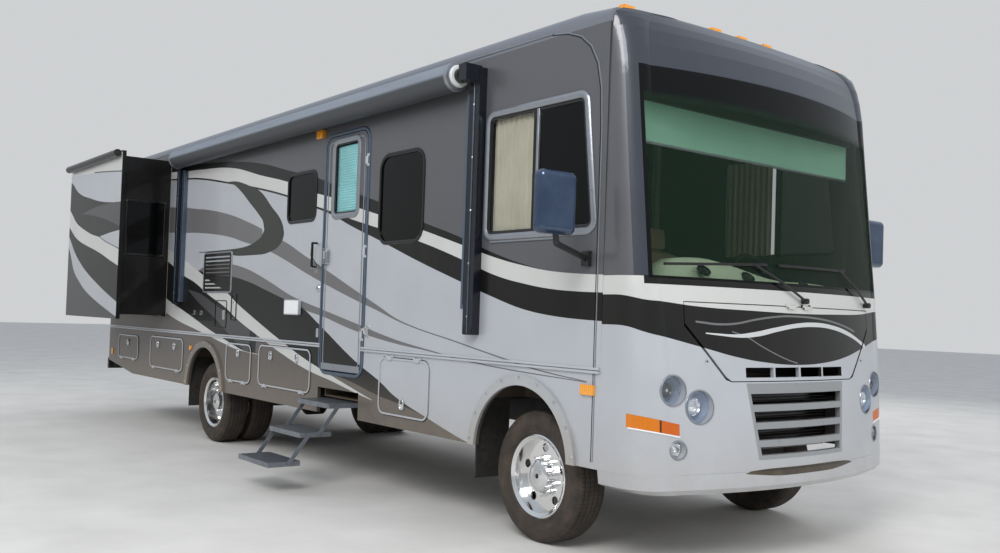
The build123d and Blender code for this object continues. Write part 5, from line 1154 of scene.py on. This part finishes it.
def make_entry_door_trim():
    """Edge strips, window moulding, latch plate and lock of the entry door, and its jamb."""
    place = facing("curb", 1.277)
    door = Piece("entry_door_trim", "door")
    whole = corners_of(-1.7545, -1.0695, 0.925, 2.9)
    for finish, corners, radius, profile in (
            ("alloy", whole, 0.09, ((-0.05, -0.001), (-0.048, 0.004), (-0.04, 0.004),
                                    (-0.038, -0.001))),
            ("arm", whole, 0.09, ((-0.014, -0.001), (-0.012, 0.004), (-0.003, 0.005),
                                  (-0.001, 0.002), (-0.001, -0.001))),
            ("alloy", DOOR_GLASS, 0.045, ((-0.01, -0.006), (-0.01, 0.004), (0.0, 0.012),
                                          (0.02, 0.014), (0.034, 0.009), (0.038, 0.002),
                                          (0.038, -0.001))),
            ("black", DOOR_GLASS, 0.045, ((-0.022, -0.007), (-0.022, -0.002), (-0.009, 0.003),
                                          (-0.009, -0.007))),
            ("alloy", corners_of(-1.158, -1.111, 1.832, 1.948), 0.012,
             ((-0.001, 0.03), (-0.001, 0.035), (0.006, 0.035), (0.01, 0.03), (0.01, -0.001),
              (-0.001, -0.001)))):
        door.frame(finish, place, corners, radius, profile)
    door.plates(place, (("black", -1.156, -1.113, 1.835, 1.946, 0.01, 0.031, 0.0335, 0.001),
                        ("chrome", -1.15, -1.12, 1.862, 1.938, 0.006, 0.033, 0.038)))
    door.turned("chrome", ((0.0, 0.006), (0.004, 0.008), (0.006, 0.007), (0.0065, 0.0005)),
                (-1.31, -1.135, 1.848), (-1, 0, 0), 14)
    door.plates(place, (("alloy", -1.735, -1.089, 0.93, 0.985, 0.006, -0.001, 0.005),))
    door.done()
    jamb = Piece("entry_jamb_trim")
    jamb.frame("arm", facing("curb", HALF_WIDTH), whole, 0.09,
               ((0.009, -0.001), (0.009, 0.006), (0.014, 0.008), (0.03, 0.008), (0.036, 0.004),
                (0.036, -0.001)))
    jamb.done()


# Latches: body, face, and each latch's place along the body and height
LATCHES = (
    ("bay_a", "curb", ((4.065, 0.945),)), ("bay_b", "curb", ((2.4238, 0.965), (2.9613, 0.965))),
    ("bay_c", "curb", ((0.6425, 0.978),)), ("bay_d", "curb", ((-0.6346, 0.99), (-0.1046, 0.99))),
    ("bay_e", "curb", ((-2.3875, 0.745),)), ("bay_f", "road", ((-1.1979, 0.965), (-0.5979, 0.965))),
    ("bay_g", "road", ((2.4238, 0.965), (2.9613, 0.965))),
)


def make_latches():
    """Flush paddle latches of the storage doors, each in its oval cup."""
    for body, face, places in LATCHES:
        place = facing(face, 1.289)
        piece = Piece("latch_set_" + body, body)
        for y, z in places:
            cup = corners_of(y - 0.023, y + 0.023, z - 0.036, z + 0.036)
            piece.frame("chrome", place, cup, 0.02, ((-0.006, 0.0), (-0.003, 0.004), (0.002, 0.004),
                                                     (0.004, 0.001), (0.004, -0.003),
                                                     (-0.006, -0.003)))
            piece.plate("black", place, cup, 0.02, -0.003, 0.0008, 0.0005)
            piece.plate("chrome", place, corners_of(y - 0.015, y + 0.015, z - 0.03, z + 0.004),
                        0.01, 0.0, 0.0045)
            piece.turned("steel", ((0.0, 0.0065), (0.003, 0.006), (0.0035, 0.0005)),
                         place(y, z + 0.018, 0.0008), Vector(place(0, 0, 1)) - Vector(place(0, 0,
                                                                                            0)), 12)
        piece.done()


def make_side_fittings():
    """Louvre backing, service hatches, grab handle, lock sets and hooks on the curb side."""
    place = facing("curb", HALF_WIDTH)
    outward = (-1, 0, 0)
    vent = Piece("side_service_trim")
    vent.frame("alloy", place, corners_of(0.9, 1.625, 1.59, 1.99), 0.02,
               ((-0.002, -0.001), (-0.002, 0.009), (0.003, 0.011), (0.012, 0.009), (0.016, 0.002),
                (0.016, -0.001)))
    vent.frame("gloss", place, corners_of(0.985, 1.275, 1.215, 1.495), 0.035,
               ((-0.004, -0.001), (-0.004, 0.005), (0.0, 0.007), (0.004, 0.005), (0.006, -0.001)))
    vent.plates(place, (("chrome", 1.015, 1.075, 1.3, 1.4, 0.01, -0.001, 0.01),
                        ("chrome", 1.85, 1.925, 1.335, 1.385, 0.014, -0.001, 0.01),
                        ("chrome", 1.65, 1.725, 1.335, 1.385, 0.014, -0.001, 0.01)))
    vent.frame("gloss", place, corners_of(0.745, 0.865, 1.3, 1.56), 0.02,
               ((-0.006, -0.001), (-0.006, 0.006), (0.0, 0.009), (0.005, 0.006), (0.007, -0.001)))
    vent.turned("chrome", ((0.0, 0.014), (0.008, 0.013), (0.01, 0.009), (0.0105, 0.0005)),
                place(0.805, 1.475, 0.0), outward, 16)
    vent.plates(place, (("white", -0.669, -0.399, 1.389, 1.507, 0.012, 0.029, 0.032),))
    lock_y, lock_z = -0.985, 1.62
    vent.turned("chrome", ((0.0, 0.03), (0.004, 0.032), (0.01, 0.028), (0.012, 0.016),
                           (0.013, 0.0005)), place(lock_y, lock_z, 0.0), outward, 20)
    vent.turned("steel", ((0.0, 0.018), (0.004, 0.018), (0.006, 0.0005)),
                place(lock_y, lock_z, 0.012), outward, 16)
    vent.plates(place, (("chrome", -1.03, -0.99, 1.195, 1.275, 0.012, -0.001, 0.012),
                        ("chrome", -1.86, -1.815, 1.235, 1.325, 0.012, -0.001, 0.012)))
    loop = ((1.24, 0.01), (1.255, 0.03), (1.3, 0.034), (1.315, 0.012))
    vent.rod("chrome", [place(-1.837, z, w) for z, w in loop], 0.006)
    vent.done()
    holder = Piece("awning_strap_hook")
    holder.rod("black", [place(-0.96, z, w) for z, w in ((1.815, 0.006), (1.9, 0.072),
                                                         (2.0, 0.066))], 0.004)
    holder.plates(place, (("lamp_clear", -0.985, -0.935, 1.745, 1.8, 0.01, -0.001, 0.022),))
    holder.done()
    # Black slats among the vent's slats: their own dark, partly painted shade in its openings.
    louvre = [place(1.2625, 1.605 + 0.0415 * k, 0.004) for k in range(10)]
    repeated("louvre_slats", "slat", louvre, "gloss", Length=0.7, Width=0.012, Height=0.002,
             Axis=(0.0, 1.0, 0.0), Tilt=0.6, Unevenness=0.0)


def make_rails_and_seams():
    """Trim over the nose's side joint and strips along the roof's gutters."""
    arc = ((-4.437, 0.6), (-4.437, 1.5), (-4.437, 2.55), (-4.425, 2.8), (-4.392, 2.95),
           (-4.33, 3.06), (-4.24, 3.135), (-4.12, 3.18), (-3.98, 3.2))
    for face, _ in SIDES:
        place = facing(face, 1.2745)
        piece = Piece("nose_joint_trim_" + face)
        piece.rod("alloy", [place(u, v, 0.001) for u, v in arc], 0.0045, 6)
        piece.rod("gloss", [place(u + 0.014, v - 0.004, 0.0005) for u, v in arc], 0.003, 6)
        piece.done()
        gutter = Piece("roof_gutter_trim_" + face)
        gutter.rod("alloy", [place(u, 3.205, 0.001) for u in (-3.98, 0.0, 4.93)], 0.007, 6)
        gutter.done()


# Awning: each arm's place along the body and lower end; the roll's middle in x and z
AWNING_ARMS = ((-3.25, 1.3), (2.345, 1.45))
AWNING_AXIS = (-1.387, 3.066)
# End fittings of the awning's roll: finish, profile, count of sides
AWNING_ENDS = (
    ("alloy", ((-0.04, 0.1005), (-0.037, 0.102), (-0.008, 0.102), (0.0, 0.098), (0.002, 0.08),
               (0.003, 0.042)), 32),
    ("white", ((0.002, 0.078), (0.016, 0.077), (0.02, 0.072), (0.022, 0.04)), 32),
    ("gloss", ((0.008, 0.03), (0.012, 0.052), (0.055, 0.052), (0.062, 0.04), (0.064, 0.002)), 20),
)


def make_awning_fittings():
    """End caps, collars, arm channels and their screws on the rolled awning."""
    piece = Piece("awning_end_fittings")
    centre_x, centre_z = AWNING_AXIS
    for y, ahead in ((-3.121, -1), (2.281, 1)):
        for finish, profile, count in AWNING_ENDS:
            piece.turned(finish, profile, (centre_x, y, centre_z), (0, ahead, 0), count)
    place, inner = facing("curb", 1.337), facing("curb", 1.2755)
    for y, low in AWNING_ARMS:
        toward = 1 if y < 0 else -1
        u0, u1 = sorted((y + toward * 0.0555, y + toward * 0.118))
        piece.plates(place, (("arm", y - 0.005, y + 0.005, low + 0.006, 3.08, 0.003, -0.001, 0.006),
                             ("gloss", y - 0.05, y + 0.05, low - 0.004, low + 0.05, 0.012, -0.062,
                              0.004)))
        piece.plates(inner, (("arm", u0, u1, 1.47, 2.955, 0.006, 0.0, 0.04),
                             ("gloss", u0 + 0.026, u1 - 0.026, 1.5, 2.94, 0.004, 0.039, 0.0425)))
    piece.done()
    place = facing("curb", 1.3425)
    screws = [place(y, low + 0.12 + 0.36 * k, 0.0) for y, low in AWNING_ARMS for k in range(5)]
    repeated("awning_arm_screws", "stud", screws, "chrome", Width=0.012, Height=0.004, Sides=10)


def nose_tree():
    """Search tree over the nose's outside, for seating pieces on it."""
    mesh = bmesh.new()
    for name in ("front_cap", "hood_lid", "windshield", "headlamps", "front_bumper"):
        mesh.from_mesh(NODES[name].data)
    bmesh.ops.triangulate(mesh, faces=mesh.faces)
    tree = BVHTree.FromBMesh(mesh)
    mesh.free()
    return tree


NOSE = nose_tree()


def on_nose(x, z, out=0.0):
    """Place on the nose's outside, moved out along its own direction."""
    hit, normal, _, _ = NOSE.ray_cast(Vector((x, -6.0, z)), Vector((0, 1, 0)))
    return hit + normal * out


# Nose lamps: distance from the middle, height, radius, kind of inside
NOSE_LAMPS = ((1.04, 1.04, 0.082, "dark"), (0.86, 0.945, 0.092, "clear"),
              (1.01, 0.705, 0.048, "fog"))
# Section of a lamp's bezel, as (outwards from its rim, forwards) pairs
BEZEL = ((0.001, -0.002), (0.002, 0.004), (0.007, 0.005), (0.01, 0.0), (0.01, -0.003))
BACKWARD = (0, 1, 0)


def make_nose_lamp(piece, side, x, z, radius, core):
    """Bezel and inside of one lamp."""
    rings = []
    for grow, out in BEZEL:
        reach = radius + grow
        ahead = Vector((0.0, -out, 0.0))
        rings.append([on_nose(x + reach * math.cos(t), z + reach * math.sin(t)) + ahead
                      for t in around(32)])
    piece.skin("alloy", rings, True)
    face = on_nose(x, z).y + 0.018
    if core == "fog":
        parts = (("reflector", ((0.054, 0.0005), (0.054, 0.045), (0.004, 0.045), (0.004, 0.043),
                                (0.03, 0.034), (0.042, 0.02), (0.046, 0.0005)), x, 24),
                 ("white", ((0.046, 0.009), (0.02, 0.009), (0.014, 0.006), (0.012, 0.0005)), x, 16))
    else:
        bowl = radius - 0.003
        off = x + side * 0.01
        size, tube, dish = (0.044, "gloss", "gloss") if core == "dark" else (0.056, "chrome",
                                                                             "reflector")
        parts = (("bowl", ((0.104, 0.0005), (0.104, bowl), (0.003, bowl), (0.003, bowl - 0.003),
                           (0.05, bowl - 0.01), (0.092, bowl - 0.03), (0.098, 0.0005)), x, 32),
                 (tube, ((0.096, size), (0.034, size), (0.026, size - 0.005), (0.036, size - 0.012),
                         (0.044, size - 0.014), (0.045, 0.001)), off, 28),
                 (dish, ((0.044, size - 0.015), (0.034, size - 0.02), (0.028, size - 0.029),
                         (0.026, 0.0005)), off, 24), ("reflector",
                                                      ((0.028, 0.01), (0.024, 0.008),
                                                       (0.022, 0.0005)), off, 16))
    for finish, profile, centre, count in parts:
        piece.turned(finish, profile, (centre, face, z), BACKWARD, count)


def make_lamp_fittings():
    """Nose lamps, the sill under the turn lamps, the grille's backing and the hood's locks."""
    for label, side in SIDES:
        piece = Piece("nose_lamp_trim_" + label)
        for x, z, radius, core in NOSE_LAMPS:
            make_nose_lamp(piece, side, side * x, z, radius, core)
        sill = [on_nose(side * (1.258 - 0.0288 * k), 0.8245 - 0.0052 * k, 0.001) for k in range(10)]
        piece.rod("white", sill, 0.005)
        piece.done()
    backing = Piece("grille_backing")
    backing.block("gloss", -0.47, 0.47, -4.83, -4.8, 0.66, 1.07, 0.01)
    backing.block("iron", -0.36, 0.36, -4.8, -4.72, 0.7, 1.05, 0.01)
    backing.done()
    fins = [(0.0, -4.842, 0.68 + 0.02 * k) for k in range(19)]
    repeated("radiator_fins", "slat", fins, "iron", Length=0.86, Width=0.014, Height=0.003,
             Axis=(1.0, 0.0, 0.0), Unevenness=0.0)
    locks = Piece("hood_locks")
    for x in (-0.8, 0.8):
        hit = on_nose(x, 1.205)
        locks.turned("chrome", ((0.0, 0.013), (-0.003, 0.014), (-0.004, 0.011), (-0.0045, 0.0005)),
                     hit, BACKWARD, 18)
        locks.turned("gloss", ((-0.0045, 0.006), (-0.0052, 0.005), (-0.0055, 0.0005)), hit,
                     BACKWARD, 12)
    locks.done()


# Axles: name of the wheels, place along the body, face of the rim, face and radius of the hub cover
AXLES = (("front_wheel", FRONT_AXLE_Y, 1.105, 1.16, 0.088),
         ("rear_wheels", REAR_AXLE_Y, 1.002, 1.155, 0.084))
# Radii of the circles that wheel nuts and arch bolts lie on
NUT_CIRCLE = 0.1145
ARCH_BOLT_CIRCLE = 0.515


def make_wheel_fittings():
    """Lug nuts and hub covers of each wheel, and the bolts of the arch trims."""
    for axle, hub_y, face_x, hub_x, hub_r in AXLES:
        for end, side in (("_right", -1), ("_left", 1)):
            name = axle + end
            axis = (side, 0.0, 0.0)
            ring = [(side * (face_x + 0.0005), hub_y + NUT_CIRCLE * math.cos(t),
                     AXLE_Z + NUT_CIRCLE * math.sin(t)) for t in around(10, 0.5)]
            repeated(name + "_nuts", "stud", ring, "chrome", name, Width=0.036, Height=0.036,
                     Sides=12, Axis=axis)
            cap = Piece(name + "_hub_cover", name)
            centre = (side * hub_x, hub_y, AXLE_Z)
            cap.turned("chrome", ((-0.012, hub_r + 0.0015), (0.0, hub_r + 0.001),
                                  (0.006, hub_r - 0.01), (0.0085, hub_r - 0.026), (0.01, 0.03),
                                  (0.012, 0.026), (0.0125, 0.0005)), centre, axis, 36)
            cap.turned("gloss", ((0.0125, 0.016), (0.0135, 0.014), (0.0138, 0.0005)), centre, axis,
                       18)
            cap.done()
    for face, side in SIDES:
        place = facing(face, 1.297)
        bolts = []
        for arch_y in (FRONT_ARCH_Y, REAR_ARCH_Y):
            for k in range(9):
                t = math.radians(8 + 164 * k / 8)
                bolts.append(place(arch_y + ARCH_BOLT_CIRCLE * math.cos(t),
                                   ARCH_Z + ARCH_BOLT_CIRCLE * math.sin(t), -0.0005))
        repeated("arch_trim_bolts_" + face, "stud", bolts, "steel", Width=0.019, Height=0.006,
                 Axis=(float(side), 0.0, 0.0))


# Middles of the roof's cooling units (y) and vents (x, y)
COOLING_UNITS_Y = (2.54, -2.3)
ROOF_VENTS = ((-0.6, 3.5), (0.5, 0.5), (-0.3, -0.7))


def make_roof_fittings():
    """Louvres, lids and sealing strips of the roof units."""
    piece = Piece("roof_unit_trim")
    for y in COOLING_UNITS_Y:
        for back in (-1, 1):
            end = y + back * 0.425
            piece.block("gloss", -0.25, 0.25, end - 0.003, end + 0.003, 3.42, 3.53, 0.002)
        piece.block("shroud", -0.2, 0.2, y - 0.25, y + 0.25, 3.664, 3.672, 0.003)
    for x, y in ROOF_VENTS:
        for finish, half, low, high, edge in (("shroud", 0.17, 3.438, 3.45, 0.005),
                                              ("roof", 0.23, 3.335, 3.352, 0.004)):
            piece.block(finish, x - half, x + half, y - half, y + half, low, high, edge)
    piece.done()
    slats = [(0.0, y + back * 0.43, 3.43 + 0.018 * k)
             for y in COOLING_UNITS_Y for back in (-1, 1) for k in range(6)]
    repeated("roof_unit_louvres", "slat", slats, "shroud", Length=0.49, Width=0.012, Height=0.003,
             Axis=(1.0, 0.0, 0.0), Tilt=0.5, Unevenness=0.0)
    steps = (-0.215, 0.0, 0.215)
    screws = [(x + dx, y + dy, 3.352) for x,
              y in ROOF_VENTS for dx in steps for dy in steps if dx or dy]
    repeated("roof_vent_screws", "stud", screws, "steel", Width=0.012, Height=0.004,
             Axis=(0.0, 0.0, 1.0))


def make_mirror_glasses():
    """Main and wide-angle glasses set in the mirror heads."""
    piece = Piece("mirror_glasses")
    place = facing("aft", -4.38)
    for _, side in SIDES:
        x = side * 1.62
        piece.frame("gloss", place, corners_of(x - 0.108, x + 0.108, 1.935, 2.225), 0.02,
                    ((-0.004, -0.002), (-0.004, 0.003), (0.004, 0.003), (0.006, -0.002)))
        piece.plates(place, (("mirror", x - 0.102, x + 0.102, 2.02, 2.22, 0.012, -0.002, 0.001,
                              0.0005), ("mirror", x - 0.102, x + 0.102, 1.94, 2.008, 0.012, -0.002,
                                        0.002, 0.001)))
    piece.done()


# Half the width of the dash
DASH_HALF = 1.03


def dash_section(x):
    """Section of the dash's padded top: two humps that bend back and fade towards its ends."""
    back = 0.13 * (x / DASH_HALF) ** 4
    rise = 0.165 * math.exp(-((x + 0.62) / 0.62) ** 2) + 0.055 * math.exp(-((x - 0.55) / 0.45) ** 2)
    fade = min(1.0, (DASH_HALF - abs(x)) / 0.16)
    top = 1.662 + rise * fade ** 0.5
    slope = top - 1.652
    return [(x, y, z) for y, z in ((-4.5, 1.645), (back - 4.79, 1.645), (back - 4.785, 1.655),
                                   (back - 4.745, 1.652 + slope * 0.55),
                                   (back - 4.69, 1.652 + slope * 0.9), (back * 0.5 - 4.63, top),
                                   (-4.52, top), (-4.5, top - 0.01))]


def make_cab_fittings():
    """Vents, padded top, instruments and the steering wheel's hub."""
    piece = Piece("dash_fittings")
    tilt = (0, -0.62, 0.78)
    for x, z in ((-0.72, 1.742), (-0.3, 1.722), (0.3, 1.69)):
        piece.turned("gloss", ((-0.01, 0.046), (0.006, 0.046), (0.01, 0.042), (0.006, 0.036),
                               (-0.002, 0.034)), (x, -4.762, z), tilt, 28)
        piece.turned("black", ((-0.008, 0.033), (0.002, 0.032), (0.003, 0.0005)), (x, -4.762, z),
                     tilt, 24)
    piece.skin("dash", [dash_section(-DASH_HALF + 2 * DASH_HALF * k / 20) for k in range(21)])
    piece.plates(facing("aft", -4.255), (("gloss", 0.4, 0.84, 1.52, 1.66, 0.03, -0.02, 0.012),
                                         ("gloss", -0.18, 0.16, 1.46, 1.64, 0.02, -0.02, 0.01)))
    for x in (0.5, 0.62, 0.74):
        piece.turned("alloy", ((0.0, 0.046), (0.004, 0.046), (0.004, 0.041), (0.0, 0.04)),
                     (x, -4.243, 1.592), BACKWARD, 24)
    rake = math.radians(60)
    piece.turned("black", ((-0.03, 0.075), (0.01, 0.08), (0.028, 0.06), (0.032, 0.0005)),
                 (0.62, -4.15, 1.74), (0.0, math.sin(rake), math.cos(rake)), 24)
    piece.done()


def cushion(name, box, swell, lean):
    """Stuffed pad: a finely divided block, swollen between its seams and creased along them."""
    x0, x1, y0, y1, z0, z1 = box
    mesh = bmesh.new()
    size = (x1 - x0, y1 - y0, z1 - z0)
    bmesh.ops.create_cube(mesh, size=1.0)
    bmesh.ops.subdivide_edges(mesh, edges=mesh.edges, cuts=9, use_grid_fill=True)
    for v in mesh.verts:
        p = v.co * 2.0
        ball = p.normalized() * max(abs(p.x), abs(p.y), abs(p.z))
        p = p.lerp(ball, 0.3)
        puff = (1 - p.x * p.x) * (1 - p.y * p.y)
        seam = math.exp(-((abs(p.x) - 0.62) / 0.05) ** 2)
        q = Vector((p.x * size[0] / 2, p.y * size[1] / 2, p.z * size[2] / 2))
        if abs(p.z) > 0.4:
            q.z += math.copysign(swell * puff - 0.006 * seam, p.z)
        q.z += 0.0018 * math.sin(q.x * 47.0 + q.y * 23.0) * math.sin(q.y * 39.0)
        q.y += lean * (q.z + size[2] / 2)
        v.co = q + Vector(((x0 + x1) / 2, (y0 + y1) / 2, (z0 + z1) / 2))
    obj = finished(name, "vehicle", mesh, [FINISHES["seat"]], 1.2)
    return obj


# Pads of a chair: name, box round it from the chair's place in x and y, swell, lean
CHAIR_PADS = (
    ("seat_pad_", -0.255, 0.255, -0.275, 0.25, 1.22, 1.35, 0.018, 0.0),
    ("headrest_", -0.145, 0.145, 0.352, 0.432, 2.015, 2.19, 0.008, 0.12),
    ("armrest_a_", -0.338, -0.266, -0.145, 0.245, 1.503, 1.555, 0.004, 0.0),
    ("armrest_b_", 0.266, 0.338, -0.145, 0.245, 1.503, 1.555, 0.004, 0.0),
    ("back_pad_", -0.245, 0.245, 0.17, 0.285, 1.35, 2.01, 0.0, 0.21),
)
CHAIR_X, CHAIR_Y = 0.62, -3.48


def make_seats():
    """Two cab chairs: pads, backs, headrests and arms over their pedestals."""
    frames = Piece("chair_frames")
    parts = []
    for label, side in SIDES:
        x, y = side * CHAIR_X, CHAIR_Y
        frames.block("black", x - 0.17, x + 0.17, y - 0.17, y + 0.17, 0.925, 1.195, 0.02)
        frames.block("black", x - 0.235, x + 0.235, y - 0.24, y + 0.24, 1.19, 1.225, 0.01)
        for arm in (-0.3, 0.3):
            frames.rod("black", [(x + arm, y + 0.2, z) for z in (1.26, 1.36, 1.5)], 0.022)
        for name, x0, x1, y0, y1, z0, z1, swell, lean in CHAIR_PADS:
            parts.append(cushion(name + label, (x + x0, x + x1, y + y0, y + y1, z0, z1), swell,
                                 lean))
    parts.append(frames.done())
    return parts


def make_rear_fittings():
    """Blank plate with its lamp, and the tail lamps' bezels."""
    piece = Piece("tail_fittings")
    place = facing("aft", TAIL_Y)
    piece.plates(place, (("black", -0.17, 0.17, 1.02, 1.2, 0.012, -0.001, 0.006),
                         ("white", -0.152, 0.152, 1.034, 1.186, 0.008, 0.006, 0.009, 0.001),
                         ("gloss", -0.06, 0.06, 1.205, 1.232, 0.008, -0.001, 0.022)))
    for _, side in SIDES:
        middle = side * 1.085
        piece.frame("chrome", place, corners_of(middle - 0.065, middle + 0.065, 1.0, 1.33), 0.02,
                    ((-0.002, 0.02), (0.002, 0.024), (0.008, 0.02), (0.012, -0.001),
                     (-0.002, -0.001)))
    piece.done()


make_window_trims()
make_blinds()
make_soft_shades()
make_entry_door_trim()
make_latches()
make_side_fittings()
make_rails_and_seams()
make_awning_fittings()
make_lamp_fittings()
make_wheel_fittings()
make_roof_fittings()
make_mirror_glasses()
make_cab_fittings()
for part in make_seats():
    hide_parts("cab_seats")
make_rear_fittings()


def build_floor():
    """Pale studio floor."""
    mesh = bpy.data.meshes.new("studio_floor")
    mesh.from_pydata([(-60, -60, 0), (60, -60, 0), (60, 60, 0), (-60, 60, 0)], [], [(0, 1, 2, 3)])
    f = Finish("studio_floor_paint", rough=0.85)
    f.set("Base Color", f.mix(f.spread(f.noise(1.5, 4.0), 0.3, 0.7), shade(218, 215, 210),
                              shade(204, 201, 196)))
    mesh.materials.append(f.material)
    linked("studio_floor", mesh)


# Tones of the backdrop: place from below to above, colour
SKY_TONES = ((0.42, (0.3, 0.285, 0.26, 1)), (0.53, (0.62, 0.64, 0.64, 1)),
             (0.75, (0.78, 0.85, 0.95, 1)))


def build_backdrop():
    """Soft light from all round, with a plain tone where the camera looks past the vehicle."""
    world = bpy.data.worlds.new("studio_light")
    bpy.context.scene.world = world
    world.use_nodes = True
    nodes, link = world.node_tree.nodes, world.node_tree.links.new
    back = nodes["Background"]
    place = nodes.new("ShaderNodeTexCoord")
    split = nodes.new("ShaderNodeSeparateXYZ")
    ramp = nodes.new("ShaderNodeValToRGB")
    (low, low_tone), (middle, middle_tone), (high, high_tone) = SKY_TONES
    ends = ramp.color_ramp.elements
    ends[0].position, ends[0].color = low, low_tone
    ends[1].position, ends[1].color = high, high_tone
    ends.new(middle).color = middle_tone
    scale = nodes.new("ShaderNodeMapRange")
    scale.inputs[1].default_value = -1.0
    link(place.outputs["Generated"], split.inputs[0])
    link(split.outputs[2], scale.inputs[0])
    link(scale.outputs[0], ramp.inputs[0])
    pick = nodes.new("ShaderNodeMix")
    pick.data_type = "RGBA"
    pick.inputs[7].default_value = (0.86, 0.88, 0.9, 1)
    link(nodes.new("ShaderNodeLightPath").outputs["Is Camera Ray"], pick.inputs[0])
    link(ramp.outputs[0], pick.inputs[6])
    link(pick.outputs[2], back.inputs[0])
    back.inputs[1].default_value = 0.72


# Lamps: name, place, width, power in watts
LAMPS = (("key", (-9.0, -9.0, 9.0), 5.0, 900.0), ("fill", (-10.0, 6.0, 6.0), 7.0, 420.0),
         ("front", (2.0, -13.0, 5.0), 6.0, 420.0), ("far", (10.0, 3.0, 8.0), 7.0, 420.0))
LAMP_AIM = (0, 0, 1.2)


def build_lamps():
    """Four soft lamps; only the key one shows in the paint."""
    for name, place, size, power in LAMPS:
        lamp = bpy.data.lights.new(name + "_lamp", "AREA")
        lamp.size = size
        lamp.energy = power
        holder = linked(name + "_lamp", lamp)
        holder.visible_glossy = name == "key"
        holder.location = place
        holder.rotation_euler = (Vector(LAMP_AIM) - Vector(place)).to_track_quat("-Z",
                                                                                 "Y").to_euler()


# Camera: its place, and yaw, pitch and roll in degrees
CAMERA_PLACE = (-5.2216, -8.5281, 1.4285)
CAMERA_ANGLES = (38.245, 1.5346, 1.8958)


def build_camera():
    """Camera at the photograph's place, from its yaw, pitch and roll in degrees."""
    cam = bpy.data.cameras.new("viewpoint")
    cam.sensor_width = 36.0
    cam.lens = 34.882
    cam.shift_x = -0.0002
    cam.shift_y = 0.0138
    viewer = linked("viewpoint", cam)
    yaw, pitch, roll = (math.radians(angle) for angle in CAMERA_ANGLES)
    ahead = Vector((math.sin(yaw) * math.cos(pitch), math.cos(yaw) * math.cos(pitch),
                    math.sin(pitch)))
    right = Vector((math.cos(yaw), -math.sin(yaw), 0.0))
    up = right.cross(ahead)
    side = right * math.cos(roll) + up * math.sin(roll)
    top = up * math.cos(roll) - right * math.sin(roll)
    turn = Matrix((side, top, -ahead)).transposed()
    viewer.matrix_world = Matrix.Translation(CAMERA_PLACE) @ turn.to_4x4()
    bpy.context.scene.camera = viewer
    bpy.context.scene.view_settings.view_transform = "Standard"


build_floor()
build_backdrop()
build_lamps()
build_camera()
